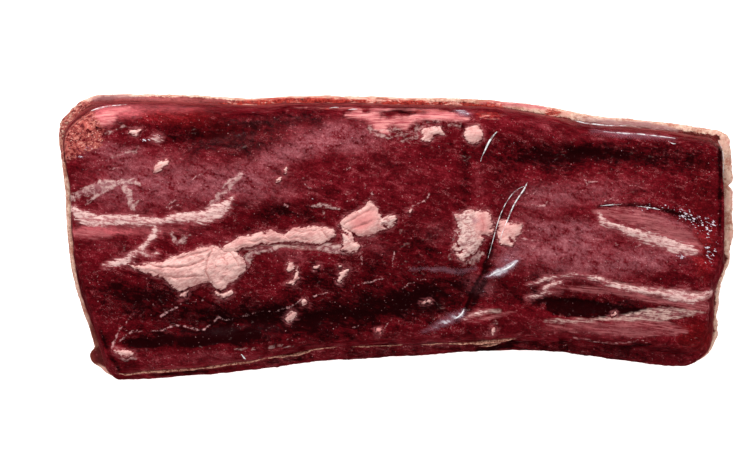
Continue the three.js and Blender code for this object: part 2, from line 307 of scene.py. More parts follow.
# ---------------------------------------------------------------- what the photograph shows
# Strokes are (pixel x, pixel y, half width in pixels) along a middle line, outlines are corners.
FAT_STROKES = {
    "long_seam": ((73, 210, 4), (84, 218, 7), (98, 221, 6), (114, 220, 5), (130, 220, 5),
        (146, 222.5, 4.5), (162, 222, 3.5), (176, 218, 5), (190, 217, 5), (203, 217, 6), (216, 213, 7),
        (226, 206, 5), (232, 198, 2)),
    "forked_strip": ((160, 223, 0.8), (157, 229, 2.8), (152, 237, 3.1), (146, 245, 2.6),
        (139, 252, 2.2), (130, 257, 3), (122, 261, 3.4), (112, 264.5, 2.4), (103, 267, 0.4)),
    "fork": ((139, 252, 2), (146, 254, 1.8), (150, 257, 1), (157, 254, 0.5)),
    "tongue_seam": ((599, 214, 2.2), (602, 221, 3.8), (612, 226, 3.2), (622, 228, 3.4), (634, 233, 5.2),
        (648, 237.5, 6), (662, 242, 6.4), (676, 246, 6), (690, 250, 4.4), (700, 253, 0.6)),
    "lower_seam": ((529, 283.5, 0.6), (538, 280.5, 1.5), (546, 278, 1.9), (560, 276, 1.1),
        (586, 274.5, 0.9), (596, 278, 2.2), (606, 282, 1.8), (616, 286, 2.3), (630, 289, 3),
        (645, 291, 3.6), (660, 293, 3.2), (672, 295, 5.4), (684, 296, 6.2), (693, 300, 4.6),
        (700, 297, 2.4), (716, 291, 1.6)),
    "hollow_edge": ((527, 297.5, 0.8), (536, 295, 1.4), (546, 292, 1.4), (558, 293.5, 0.5)),
    "hollow_fleck": ((545, 289, 3), (553, 285, 3.4), (559, 283, 1.6)),
    "left_scrap": ((156, 170, 3), (160, 164, 4), (164, 162, 3), (168, 160, 0.8)),
    "corner_scrap": ((130, 131, 2), (135, 132, 3), (140, 131, 1)),
    # A painted highlight: a small glint drawn as a pale stroke of fat
    "corner_sparkle": ((152, 140, 1.6), (157, 139, 3), (161, 138, 1)),
    "near_white": ((113, 350, 0.8), (119, 352, 2.4), (126, 354, 2.8), (134, 354, 1)),
    "crease_lip": ((463, 319, 1.2), (470, 316, 0.9), (477, 313.5, 0.6), (489, 311, 0.4)),
    "tail_scrap": ((181, 298, 0.8), (184, 295, 1.8), (187, 292, 0.8)),
    "tip_scrap": ((216, 293, 1.2), (224, 297, 1.8), (230, 293, 1.6), (232, 288, 0.8)),
    "bent_scrap": ((296, 267, 0.7), (297, 274, 1), (297, 279, 1.8), (292, 282, 2.2), (287, 284, 1.2)),
    "long_scrap": ((340, 281, 1.8), (342, 276, 2.8), (345, 274, 2.4), (348, 270, 1)),
    "scrap_a": ((291, 264, 2), (291, 269, 3.2)),
    "scrap_b": ((315, 268, 1.8), (318, 267, 2)),
    "scrap_c": ((339, 265, 1.2), (341, 266.5, 1.5)),
    "scrap_d": ((288, 318, 2.8), (293, 314, 3.8)),
    "scrap_e": ((304, 301, 1.4), (306, 304, 1.8)),
    "scrap_f": ((423, 303, 2), (425, 302, 1.6)),
    "scrap_g": ((429, 301, 2), (430, 302, 1.8)),
    "scrap_h": ((611, 316, 1), (615, 314, 1.8)),
    "scrap_i": ((278, 182, 1.6), (280, 180, 2)),
    "scrap_j": ((285, 174, 0.8), (286, 169, 1.2)),
    "scrap_k": ((408, 212, 1.8), (410, 210, 1.4)),
    "scrap_l": ((493, 329, 2), (492, 333, 1.2)),
    "bead": ((378.5, 329, 2), (379, 332, 2.4)),
}
FAT_OUTLINES = {
    "lump": ((126, 264.5), (139, 265), (150, 263), (162, 261.5), (174, 257), (187, 252), (201, 248),
        (213, 245.5), (219, 248), (222, 252), (233, 251), (241, 256.5), (247, 264), (242, 272),
        (234, 280), (227, 285), (221, 291.5), (214.5, 288), (208, 282), (198, 285), (181, 291.5),
        (174, 287), (162, 279), (149, 274), (139, 269.5)),
    "crossing_patch": ((454, 214), (463, 212), (473, 210), (488, 211.5), (492, 218), (494, 227),
        (492, 234), (485, 238), (481, 245), (476, 253), (468, 257.5), (464, 262), (458, 258),
        (453, 245), (461, 238), (456, 226)),
    "beside_crossing": ((497, 219), (506, 221), (515, 222), (523, 224.5), (521, 233), (515, 237),
        (512, 246), (500, 245), (497, 236)),
    "ribbon": ((221, 249), (229, 243), (239, 236), (255, 234), (271, 230), (279, 232), (285, 234),
        (293, 227), (309, 226.5), (325, 227), (333, 230), (336, 235), (331, 240), (319, 244),
        (309, 243.5), (301, 243), (289, 242), (277, 241), (265, 243), (253, 246), (243, 249),
        (231, 253), (223, 254)),
    "torn": ((338, 225), (345, 217), (357, 211.5), (366, 207), (368, 202), (371, 200), (375, 206),
        (379, 213), (381, 219), (386, 216), (394, 215), (397, 220), (390, 227.5), (381, 231),
        (369, 237.5), (357, 236.5), (352, 233), (345, 231)),
    "flap": ((341, 228), (350, 232), (354, 240), (361, 246), (358, 253), (349, 254), (341, 250),
        (343, 240)),
    "nub": ((466, 128), (471, 125), (478, 125), (483, 131), (482, 139), (476, 143), (468, 142),
        (464, 136)),
    "nub_beside": ((421, 131), (428, 126), (441, 128), (443, 134), (435, 135), (428, 141), (422, 139)),
}
# Ragged gaps in the fat
GAP_STROKES = {
    "hole": ((482, 236, 1), (487, 239, 2.8), (485, 244, 1.6)),
    "left_a": ((450, 238, 1), (456, 242, 1.6), (459, 249, 0.6)),
    "left_b": ((454, 226, 0.6), (458, 230, 1.2), (461, 234, 0.4)),
    "left_c": ((455, 256, 1), (460, 253, 1.2), (463, 248, 0.4)),
    "top": ((475, 208, 1.2), (476, 213, 0.5)),
    "right": ((495, 226, 1), (490, 229, 0.6)),
    "low": ((474, 260, 1.4), (472, 254, 0.6)),
    "beside_a": ((513, 242, 1.4), (509, 238, 0.5)),
    "beside_b": ((496, 230, 1), (500, 232, 0.5)),
    "beside_c": ((510, 219, 0.8), (509, 223, 0.4)),
    "torn_b": ((385, 212, 1.6), (382, 218, 0.7)),
    "torn_d": ((342, 233, 0.8), (347, 235, 0.6)),
    "torn_e": ((390, 230, 1.2), (386, 226, 0.6)),
    "ribbon_a": ((262, 230, 0.8), (265, 234, 0.5)),
    "ribbon_b": ((301, 246, 1), (303, 242, 0.5)),
    "ribbon_c": ((282, 229, 1), (284, 233, 0.5)),
}
# Creases between the lobes of the fat
FOLD_STROKES = {
    "lobe_back": ((214, 247, 1), (210, 254, 1), (207, 262, 1), (207, 272, 1), (209, 280, 1),
        (214, 288, 1)),
    "upper_a": ((149, 264, 1), (163, 267, 1), (178, 268, 1), (192, 265, 1), (203, 261, 1)),
    "upper_b": ((150, 271, 0.6), (166, 276, 1), (182, 278, 1), (196, 276, 1), (206, 277, 0.6)),
    "upper_c": ((178, 259, 1), (188, 256, 1), (199, 254, 1), (208, 250, 1)),
    "lobe_a": ((229, 252, 0.6), (236, 258, 0.8), (239, 266, 0.6)),
    "lobe_b": ((219, 250, 0.4), (222, 258, 0.8), (227, 263, 0.6), (228, 270, 0.3)),
    "lobe_c": ((214, 262, 0.2), (218, 268, 0.5)),
    "lobe_d": ((222, 276, 0.4), (225, 281, 0.5)),
    "ribbon_a": ((249, 241, 1), (256, 242, 1), (263, 239, 1), (270, 241, 1), (279, 240, 1)),
    "ribbon_b": ((283, 233, 1), (290, 240, 1), (299, 238, 1), (310, 241, 1)),
    "ribbon_c": ((296, 231, 1), (304, 233, 1), (316, 230, 1)),
    "ribbon_d": ((322, 231, 1), (328, 238, 1), (330, 243, 1)),
    "ribbon_e": ((262, 234, 1), (268, 238, 1)),
    "ribbon_f": ((236, 250, 1), (243, 246, 1), (249, 246, 1)),
    "torn_a": ((344, 225, 1), (352, 220, 1), (361, 214, 1), (370, 211, 1)),
    "torn_d": ((352, 229, 0.6), (362, 225, 1), (372, 222, 0.6)),
    "torn_e": ((380, 219, 1), (379, 226, 1)),
    "torn_b": ((350, 229, 1), (358, 226, 1), (368, 224, 1)),
    "torn_c": ((346, 232, 1), (350, 239, 1)),
    "seam_a": ((84, 224, 1), (98, 226, 1), (112, 224, 1), (126, 225, 1)),
    "seam_b": ((176, 222, 1), (190, 214, 1), (203, 219, 1), (214, 218, 1)),
    "patch_a": ((463, 221, 1), (470, 228, 1), (472, 238, 1)),
    "patch_b": ((480, 216, 1), (484, 226, 1), (480, 237, 1)),
}
# The dried lip along the near edge
LIP_STROKES = {
    "lip": ((112, 375, 0.9), (130, 372.5, 1.1), (146, 371.5, 1.2), (170, 370, 1.1), (193, 369, 1.2),
        (210, 367, 0.9), (225, 364.5, 1.2), (240, 362, 1.1), (257, 360, 1.2), (280, 357, 1.0),
        (300, 354, 1.1), (320, 349.5, 1.0), (334, 346, 1.0), (340, 343.5, 0.5)),
    "lip_right": ((350, 346.5, 0.4), (371, 346, 0.5), (400, 345, 0.4), (430, 343.5, 0.5),
        (455, 343, 0.6), (476, 342.5, 1.4), (490, 341.5, 1.7), (503, 339.5, 1.4), (520, 337.5, 0.6)),
    "lip_low": ((478, 347, 0.4), (492, 346, 0.9), (505, 342, 0.4)),
}
# Red juice that has run to the far edge
JUICE_STROKES = {
    "far": ((225, 104, 1.5), (250, 103, 3), (300, 102.5, 4), (361, 104, 3.6), (400, 104, 3.4),
        (440, 105, 3.4), (473, 110, 4), (490, 112.5, 6), (500, 114, 3)),
    "far_right": ((546, 112, 1), (553, 113, 3.5), (560, 113, 1)),
    "far_left": ((180, 105, 0.8), (205, 104, 1.6), (225, 104, 1.6)),
}
# Pale pink tissue along the far side
BAND_STROKES = {
    "band": ((346, 116, 1.2), (358, 117, 2.6), (371, 118, 3.6), (390, 120.5, 3), (409, 120, 3.4),
        (430, 116, 4), (446, 115, 3.6), (457, 118, 4), (468, 119, 2)),
    "pale_line": ((250, 107.5, 0.5), (282, 106, 0.9), (330, 105.5, 1), (361, 109.5, 1.2)),
    "band_top": ((371, 109.5, 1.2), (395, 107.5, 1.3), (420, 108, 1.6), (437, 109.5, 1.8)),
    "spot_a": ((376, 128, 2), (384, 131, 3), (389, 134, 1)),
    "spot_b": ((398, 127, 1.5), (405, 128, 1.6)),
    "right_rim": ((480, 103, 1), (496, 104, 2.6), (515, 104, 2), (535, 106, 2.4), (546, 109, 1)),
    "corner_pink": ((88, 124, 0.8), (94, 118, 2), (103, 115, 2.6), (113, 112, 2), (130, 108, 1)),
    "corner_pink_low": ((98, 124, 1.2), (106, 120, 1.8), (118, 117, 1)),
}
# Bands of rosy muscle whose fibres lie along the loin
MUSCLE_STROKES = {
    "right_upper": ((556, 288, 1), (574, 289, 3), (596, 290, 4), (612, 291, 4), (630, 295, 4),
        (650, 299, 4), (672, 303, 4), (694, 307, 5), (710, 309, 4)),
    "right_lower": ((548, 322, 3), (570, 325, 6), (600, 327, 8), (640, 328, 9), (668, 329, 8),
        (686, 331, 3)),
    "tongue": ((594, 211, 2), (612, 212, 6), (635, 217, 8), (660, 226, 9), (684, 238, 8),
        (700, 247, 5)),
    "left_end": ((76, 233, 3), (92, 235, 6), (110, 236, 3)),
    "crease_foot": ((470, 322, 1), (492, 317, 2), (514, 312, 1)),
}
# Hollows of the lean, painted dark as their shade
HOLLOW_SHADE_STROKES = {
    "near_a": ((126, 341, 1), (138, 343, 2), (150, 344, 2), (163, 340, 1)),
    "near_b": ((174, 342, 1), (190, 343, 2), (210, 339, 1.4)),
    "near_c": ((222, 339, 1), (236, 337, 2), (254, 333, 1)),
    "crease": ((493, 248, 0.3), (487, 265, 0.8), (480, 285, 0.8), (470, 305, 0.8), (466, 316, 0.3)),
    "right_mid": ((536, 297, 1.5), (552, 300, 2.5), (560, 304, 2)),
}
HOLLOW_SHADE_OUTLINES = {
    "right": ((546, 300), (579, 298), (606, 303), (629, 308), (646, 310), (647, 313), (637, 316),
        (613, 318), (579, 318), (555, 316), (545, 311)),
    "near_a": ((128, 341), (140, 338), (152, 341), (165, 338), (170, 342), (158, 347), (142, 348),
        (130, 346)),
    "near_b": ((178, 344), (190, 338), (206, 339), (222, 334), (240, 332), (254, 331), (250, 336),
        (232, 341), (214, 344), (196, 348)),
}
# Narrow painted shadows: dark lines in grooves and creases, and under the lip
THIN_SHADOWS = {
    "lens": ((380, 112, 0.5), (395, 111, 1.8), (412, 111, 2), (428, 112, 0.8)),
    "crease": ((503, 214, 0.3), (497, 230, 0.7), (489, 249, 0.8), (483, 272, 0.7), (473, 291, 0.8),
        (465, 309, 0.6), (464, 317, 0.2)),
    "tongue": ((598, 207, 0.5), (620, 204.5, 1), (646, 206, 1.2), (664, 210.5, 1.4), (682, 215, 1.6),
        (700, 223, 1.4)),
    "lip_shadow": ((150, 374.5, 0.8), (193, 372, 1.4), (225, 368, 1.2), (257, 363.5, 1.4),
        (300, 357.5, 1.4), (338, 350, 1.2), (400, 348, 1), (470, 346, 1)),
    "under_lip": ((478, 350, 1.5), (500, 346, 2.4), (520, 342, 2), (545, 343, 1.2), (570, 344, 0.6)),
    "left_line": ((119, 371, 0.6), (108, 350, 1.2), (100, 330, 0.8)),
    "lower_dark": ((640, 293, 0.6), (650, 296, 1), (662, 299, 1.2), (676, 302, 1)),
    "right_line": ((719.5, 134, 0.8), (720, 190, 1.2), (720, 236, 1)),
    "low_lines": ((560, 340, 0.5), (580, 344, 0.8), (620, 347, 0.9), (650, 344, 0.5)),
}
# Thin grey or pink skin over the meat: strokes whose last number is how much of the meat it hides
VEIL_STROKES = {
    "loop": ((74, 198, 4, 0.7), (82, 192, 4.5, 0.75), (92, 190, 5, 0.7), (103, 185, 4.5, 0.85),
        (118, 182, 3, 0.9), (134, 181, 3, 0.9), (140, 184, 2, 0.7)),
    "loop_low": ((87, 202, 1.5, 0.6), (98, 194, 2.5, 0.8), (110, 188, 2.5, 0.8)),
    "loop_side": ((124, 185, 3, 0.8), (128, 193, 4, 0.8), (130, 200, 4, 0.7), (133, 208, 3, 0.6)),
    "loop_edge": ((139, 196, 0.8, 0.6), (137, 206, 0.8, 0.6), (135, 212, 0.8, 0.4)),
    "seam_streak": ((209, 211, 5, 0.7), (217, 199, 4, 0.6), (226, 188, 4, 0.5), (234, 180, 3.5, 0.55),
        (242, 173, 2.5, 0.75)),
    "flakes": ((110, 158, 2, 0.3), (117, 154, 4, 0.35), (124, 150, 5, 0.35), (132, 151, 3, 0.3),
        (138, 146, 2, 0.3)),
    "flakes_back": ((106, 133, 2.5, 0.35), (114, 130, 3, 0.4), (121, 126, 2.6, 0.35),
        (128, 123, 2, 0.3)),
    "c_scrap": ((171, 234, 2, 0.6), (173, 240, 3, 0.7), (178, 244, 3, 0.6), (184, 240, 3, 0.55),
        (188, 235, 2, 0.5)),
    "lump_skin": ((240, 270, 5, 0.5), (247, 262, 5, 0.5), (252, 254, 4, 0.6), (262, 250, 3, 0.7),
        (276, 248, 3, 0.6)),
    "ribbon_skin": ((318, 246, 4, 0.5), (330, 248, 5, 0.6), (342, 249, 5, 0.7), (352, 249, 5, 0.65),
        (360, 245, 3, 0.4)),
    "arc_scrap": ((313, 206, 1.5, 0.7), (321, 205, 3, 0.6), (330, 206, 2, 0.7), (339, 210, 1, 0.7)),
    "arc_tail": ((321, 206, 2, 0.6), (325, 213, 1.5, 0.6), (324, 219, 1, 0.6)),
    "right_of_ribbon": ((380, 222, 4, 0.5), (388, 220, 4, 0.5), (394, 217, 2, 0.4)),
    "patch_skin": ((462, 252, 4, 0.5), (466, 262, 3, 0.5), (474, 262, 4, 0.4), (480, 254, 4, 0.5)),
    "patch_wide": ((456, 230, 3, 0.5), (454, 245, 2, 0.4), (451, 260, 1.5, 0.3)),
    "band_skin": ((372, 130, 6, 0.3), (382, 132, 8, 0.5), (395, 132, 7, 0.35), (408, 136, 7, 0.4),
        (420, 134, 7, 0.4), (438, 124, 6, 0.3), (456, 124, 6, 0.35)),
    "far_left_film": ((94, 99, 2.5, 0.8), (104, 97, 3, 0.8), (120, 97, 3, 0.8), (134, 98, 2, 0.7),
        (160, 100, 1, 0.5)),
    "far_right_film": ((576, 118, 1, 0.5), (590, 122, 2.5, 0.7), (612, 123, 3, 0.8), (640, 124, 3, 0.8),
        (660, 127, 3, 0.7), (680, 131, 2, 0.5)),
    "grey_block": ((489, 320, 1.5, 0.4), (494, 322, 3, 0.45), (499, 324, 1.5, 0.4)),
    "smear": ((116, 349, 2, 0.5), (124, 356, 3, 0.5), (134, 359, 1.5, 0.4)),
    "near_line": ((226, 350, 1, 0.4), (250, 349.5, 1.2, 0.5), (275, 347, 2, 0.35), (292, 345, 3, 0.3)),
}
# Thin white veins, and stars and flecks of fat
THREADS = {
    "vein_a": ((112, 351, 1), (114, 340, 1.2), (120, 329, 0.9), (128, 320, 0.7), (133, 314, 0.5)),
    "vein_b": ((118, 342, 0.8), (126, 335, 0.9), (133, 331.5, 1), (142, 330, 0.6)),
    "vein_c": ((152, 331, 0.5), (163, 330, 0.9), (173, 325.5, 0.8), (186, 326, 0.7), (198, 330, 1.1),
        (205, 329, 1.3), (210, 325, 1), (219, 317.5, 1), (226, 320, 0.8), (233, 318, 0.5),
        (241, 316.5, 0.8), (254, 312.5, 0.6), (268, 311.5, 0.4), (277, 311, 0.6), (284, 308, 1),
        (291, 306.5, 1), (302, 299, 0.9), (314, 296.5, 0.7), (326, 293, 0.5), (335, 290.5, 0.5)),
    "vein_d": ((160, 317.5, 1.5), (165, 313, 1.4), (171, 310, 0.9), (177, 307.5, 0.9)),
    "vein_e": ((180, 304, 0.5), (192, 302.5, 0.6), (203, 300.5, 0.5)),
    "vein_g": ((358, 285.5, 0.6), (366, 283, 0.8), (378, 280, 0.6), (391, 275.5, 0.5)),
    "vein_h": ((401, 290, 0.9), (406, 286, 0.6), (410, 283.5, 1), (416, 281.5, 0.6), (424, 279.5, 0.5)),
    "vein_i": ((125, 326, 0.9), (124, 329, 0.5), (128, 331, 0.4)),
    "vein_j": ((87, 272, 0.5), (100, 270.5, 0.6), (117, 269, 0.4)),
    "vein_k": ((143, 297, 0.3), (150, 302, 0.4), (157, 308, 0.3)),
    "vein_l": ((352, 328, 0.5), (358, 326, 0.5), (362, 324, 0.3)),
    "vein_m": ((383, 330, 0.5), (388, 323, 0.6), (393, 318, 0.4)),
    "vein_n": ((286, 341, 0.6), (293, 337, 0.8)),
    "vein_o": ((360, 254, 1.4), (362, 260, 1), (362, 266, 0.5)),
    "vein_p": ((394, 252, 1), (393, 260, 0.6), (393, 270, 0.5)),
    "star_a": ((232, 181, 0.5), (241, 174, 1.4), (246, 176, 0.5)),
    "star_b": ((239, 169, 0.4), (241, 175, 0.8)),
    "star_c": ((191, 180, 0.5), (197, 176, 0.9), (203, 174, 0.3)),
    "star_d": ((585, 187, 0.6), (588, 182, 1.4), (598, 181, 0.5)),
    "star_e": ((587, 183, 1.2), (583, 176, 0.4)),
    "star_f": ((532, 204, 0.7), (538, 206, 1.2), (545, 205, 1), (548, 201, 0.6)),
    "star_g": ((527, 193, 1.2), (532, 195, 0.8), (538, 191, 0.4)),
    "star_h": ((605, 201, 0.9), (612, 198, 0.6), (618, 194, 0.3)),
    "fleck_a": ((166, 207, 1), (170, 203, 1.2), (176, 200, 1)),
    "fleck_b": ((170, 208, 0.6), (180, 204, 0.8)),
    "fleck_c": ((303, 178, 0.9), (304, 183, 0.7), (311, 189, 0.8)),
    "fleck_d": ((309, 147, 0.8), (315, 144, 1.2)),
    "fleck_e": ((347, 170, 1), (352, 167, 0.7)),
    "fleck_f": ((372, 190, 0.9), (373, 194, 1.1)),
    "fleck_g": ((358, 192, 0.9), (359, 196, 0.8)),
    "fleck_h": ((397, 180, 0.7), (404, 183, 0.5), (411, 186, 0.3)),
    "fleck_i": ((424, 202, 0.8), (428, 196, 1), (430, 193, 0.6)),
    "fleck_j": ((412, 206, 1), (420, 203, 0.7), (426, 201, 0.9)),
    "fleck_k": ((284, 205, 1.6), (288, 206, 1.2)),
    "fleck_l": ((110, 170, 0.7), (118, 168, 1), (122, 173, 0.6)),
    "fleck_m": ((345, 202, 0.4), (352, 200, 0.6)),
    "fleck_n": ((370, 202, 1.2), (371, 207, 1.4), (374, 209, 1)),
    "fleck_o": ((520, 238, 0.8), (530, 241, 0.9), (542, 239, 0.6)),
    "fleck_p": ((616, 244, 0.8), (622, 248, 0.6)),
    "fleck_q": ((637, 247, 1.4), (640, 245, 1)),
    "fleck_r": ((598, 256, 0.5), (612, 262, 0.5), (620, 268, 0.4)),
    "low_thread": ((573, 338, 0.9), (583, 339, 0.9), (593, 341.5, 0.7), (617, 343, 0.8),
        (646, 340, 0.5)),
    "lip_fibre": ((575, 332, 0.4), (600, 334, 0.4), (630, 333, 0.3)),
    "near_fibre": ((480, 318, 0.6), (484, 312, 0.5)),
    "tail_a": ((144, 281, 0.4), (148, 276, 0.6), (151, 273, 0.8)),
    "tail_b": ((133, 262, 0.5), (140, 267, 0.8)),
    "seam_hair_a": ((250, 264, 0.5), (244, 268, 0.4)),
    "seam_hair_b": ((220, 249, 0.4), (219, 241, 0.7)),
}
# Smooth pale sheaths, streaked along the loin
SHEATH_STROKES = {
    "silverskin": ((545, 321, 1.4), (556, 321.5, 2.6), (572, 321.5, 1.6), (592, 320, 1.6),
        (612, 318.5, 2.6), (630, 317, 4), (648, 315.5, 6), (664, 313.5, 7), (680, 313, 5),
        (694, 313, 2), (706, 313, 0.5)),
    "upper": ((600, 279, 1), (616, 284, 2.2), (636, 288.5, 3), (656, 291, 3.4), (676, 295, 5),
        (690, 297, 5.5), (704, 296, 3.6), (717, 291, 2.4)),
    "far_right": ((574, 116, 1.4), (596, 121, 3), (620, 123, 3.6), (650, 125.5, 3.2), (676, 130, 2)),
    "tongue": ((640, 235, 3), (664, 243, 4), (688, 251, 3)),
    "crossing_foot": ((470, 315.5, 2), (486, 312, 2.2), (500, 311, 1.4)),
    "skirt": ((244, 247, 2), (262, 246.5, 2.6), (284, 246, 2.6), (306, 247, 2.6), (322, 246, 3),
        (338, 248, 4)),
}
# Soft areas: pixel x, pixel y, half length, half width, turn in degrees, strength
# Painted shade: the lean darkened where its hollows and valleys lie in shade, with some of the meat's own
# darker red
SHADE_AREAS = (
    (170, 134, 34, 13, 0, 0.5), (225, 136, 44, 16, -4, 0.8), (282, 121, 44, 10, 8, 0.8),
    (255, 150, 24, 10, 14, 0.3), (285, 212, 46, 9, -2, 0.8), (240, 226, 30, 6, 8, 0.4),
    (440, 148, 26, 14, 0, 0.25), (590, 156, 52, 10, 2, 0.8), (520, 158, 46, 13, -4, 0.55),
    (600, 152, 95, 20, 0, 0.35), (660, 160, 40, 12, 0, 0.45), (702, 165, 26, 26, 0, 0.4),
    (706, 215, 16, 20, 0, 0.3), (505, 188, 26, 16, 0, 0.3), (120, 292, 34, 16, -10, 0.75),
    (165, 306, 50, 18, -6, 0.5), (250, 318, 90, 20, -2, 0.62), (200, 336, 76, 9, -1, 0.7),
    (330, 314, 90, 20, 4, 0.7), (325, 334, 46, 8, 0, 0.3), (410, 300, 60, 22, 12, 0.8),
    (400, 351, 110, 5, 2, 0.35), (200, 290, 60, 14, 0, 0.3), (330, 285, 60, 12, 0, 0.3),
    (620, 306, 50, 9, -4, 0.45), (670, 282, 34, 6, -8, 0.3), (655, 322, 40, 4, 0, 0.3),
    (445, 284, 40, 16, 10, 0.4), (300, 270, 60, 14, 0, 0.3), (400, 262, 50, 18, 0, 0.4),
    (420, 240, 34, 18, 0, 0.35), (520, 292, 40, 13, -6, 0.55), (560, 280, 44, 9, -4, 0.5),
    (590, 308, 54, 8, -3, 0.5), (560, 350, 70, 8, 0, 0.6), (645, 354, 60, 8, 6, 0.6),
    (465, 170, 5, 38, 2, 0.6), (480, 330, 24, 5, 4, 0.4), (440, 342, 60, 7, 4, 0.3),
)
HAZE_AREAS = (
    (130, 185, 50, 34, 0, 0.7), (205, 178, 60, 22, 0, 0.5), (288, 150, 62, 13, 26, 0.7),
    (330, 140, 30, 12, 10, 0.5), (355, 140, 40, 14, 10, 0.5), (260, 190, 60, 16, 0, 0.45),
    (400, 170, 70, 34, 0, 0.2), (200, 235, 50, 9, 0, 0.3), (290, 255, 30, 12, 0, 0.4),
    (560, 248, 54, 20, 6, 0.95), (560, 227, 46, 7, -3, 0.7), (640, 262, 60, 14, 8, 0.85),
    (540, 200, 34, 16, 0, 0.6), (600, 190, 60, 14, 0, 0.5), (660, 222, 44, 9, -18, 0.9),
    (370, 245, 30, 12, -20, 0.4), (440, 232, 24, 20, 0, 0.35), (105, 245, 30, 10, 0, 0.3),
    (620, 135, 60, 6, 4, 0.45), (540, 128, 24, 10, 0, 0.35), (210, 358, 90, 9, -2, 0.35),
    (640, 300, 50, 7, 6, 0.25), (510, 258, 16, 10, 30, 0.7), (430, 345, 60, 5, 0, 0.4),
    (480, 285, 18, 12, -20, 0.6), (560, 275, 30, 10, 0, 0.3), (110, 150, 30, 10, 0, 0.5),
    (615, 332, 46, 9, 2, 0.45), (480, 185, 8, 30, 0, 0.25), (290, 125, 12, 7, 0, 0.35),
)
PINK_AREAS = (
    (160, 101, 70, 5, 0, 1.0), (270, 103, 60, 4, 0, 0.7), (102, 117, 14, 10, -30, 1.1),
    (122, 112, 18, 8, -12, 0.75), (150, 111, 36, 6, 0, 0.5), (370, 352, 80, 3, 2, 0.3),
    (88, 232, 20, 7, 8, 1.1), (195, 111, 36, 5, 0, 0.4), (620, 286, 40, 5, 10, 0.35),
    (640, 300, 46, 6, 6, 0.25), (625, 331, 46, 8, 2, 0.45), (560, 328, 40, 5, 0, 0.5),
    (670, 226, 34, 7, -20, 0.45), (112, 232, 36, 6, 0, 0.9), (170, 231, 26, 6, 0, 0.6),
    (300, 246, 40, 4, 0, 0.5), (360, 235, 14, 6, 0, 0.4), (700, 270, 14, 30, 0, 0.2),
)
GREY_AREAS = (
    (464, 232, 12, 26, 10, 0.9), (110, 217, 40, 10, 0, 0.8), (200, 218, 30, 10, 0, 0.6),
    (466, 245, 14, 20, 20, 0.9), (470, 217, 12, 6, 0, 0.5), (344, 240, 12, 8, 0, 0.8),
    (260, 250, 20, 5, 0, 0.6), (680, 297, 24, 8, 0, 0.6), (386, 222, 10, 8, 0, 0.9),
    (560, 283, 20, 8, 0, 0.4), (240, 262, 8, 12, 0, 0.5),
)
ROSY_AREAS = (
    (378, 331, 6, 6, 0, 1.2), (372, 212, 10, 9, 0, 0.6), (364, 224, 12, 6, 20, 0.5),
    (300, 229, 26, 3, 0, 0.5), (482, 226, 10, 14, 0, 0.8), (250, 243, 30, 10, 0, 0.4),
    (358, 222, 16, 12, -30, 0.7), (290, 238, 20, 6, 0, 0.35), (650, 240, 50, 14, 20, 0.5),
    (155, 272, 26, 10, 0, 0.4), (90, 226, 20, 5, 0, 0.7), (475, 134, 12, 12, 0, 0.5),
    (508, 228, 14, 14, 0, 0.5), (150, 232, 14, 14, 0, 0.6), (620, 290, 40, 8, 0, 0.4),
)
# The small scraps of fat
SCRAPS = (
    "left_scrap", "corner_scrap", "near_white", "tail_scrap", "tip_scrap", "bent_scrap", "long_scrap",
    "scrap_a", "scrap_b", "scrap_c", "scrap_d", "scrap_e", "scrap_f", "scrap_g", "scrap_h", "scrap_i",
    "scrap_j", "scrap_k", "scrap_l", "bead",
)
# Pads of fat: the strokes and outlines that they follow, how far they stand out in mm, and over
# how many pixels their edge is rounded
PADS = {
    "fat_lump": (("lump",), 2.1, 6),
    "fat_ribbon": (("ribbon",), 1.1, 2.2),
    "torn_fat": (("torn", "flap"), 1.2, 2.4),
    "crossing_fat": (("crossing_patch", "beside_crossing"), 0.6, 3),
    "far_nubs": (("nub", "nub_beside"), 1.1, 4),
    "fat_scraps": (SCRAPS, 0.75, 1.8),
}
# Painted glare on the film: pale patches painted where highlights fall. Pixel x, pixel y, half width, and at
# the first how strong
GLARE_STROKES = {
    "fold_foot": ((422, 332, 2, 0.85), (436, 326, 5), (448, 320, 6.5), (457, 316, 6.5), (463, 312, 4)),
    "fold_spot": ((459, 317, 1, 1), (462, 314.5, 2), (464, 310, 1)),
    "long_streak": ((410, 268.5, 1, 0.5), (432, 269, 2), (446, 270, 2.6), (458, 271.5, 2.4),
        (476, 268.5, 1.6)),
    "bright_fold": ((484, 277, 1, 1.2), (494, 274, 3.4), (503, 270.5, 5), (511, 266, 4.6),
        (519, 259, 2)),
    "fold_haze": ((496, 266, 3, 0.45), (508, 258, 7), (516, 250, 5)),
    "far_glow": ((592, 131, 1.4, 0.75), (616, 132, 3), (640, 134, 4), (658, 134.5, 3.6),
        (674, 138, 2.4)),
    "far_glow_back": ((568, 116, 1.4, 0.8), (584, 120, 3), (600, 123, 3.4), (620, 124, 3.4),
        (646, 125, 2.4)),
    "white_glint": ((455, 109.5, 0.8, 1), (460, 111, 1.8), (466, 113.5, 2), (471, 115.5, 1)),
    "dot": ((475, 221, 1.4, 0.8), (479, 220.5, 1.2)),
}
# Painted sparkles: soft ovals where small white glints are painted on the film
SPARKLE_AREAS = (
    (692, 219, 22, 8, -25, 1.25), (712, 226, 8, 5, 0, 1), (709, 252, 10, 18, 0, 0.9),
    (681, 256, 8, 4, 20, 0.9), (148, 139, 12, 3.5, 5, 1.1), (82, 157, 14, 2.2, 0, 0.9),
    (90, 146, 12, 8, 0, 0.5), (652, 208, 24, 2.6, 6, 0.8), (514, 142, 6, 3, 0, 0.5),
    (122, 132, 14, 6, 0, 0.35), (250, 357, 14, 2.5, 4, 0.4),
)
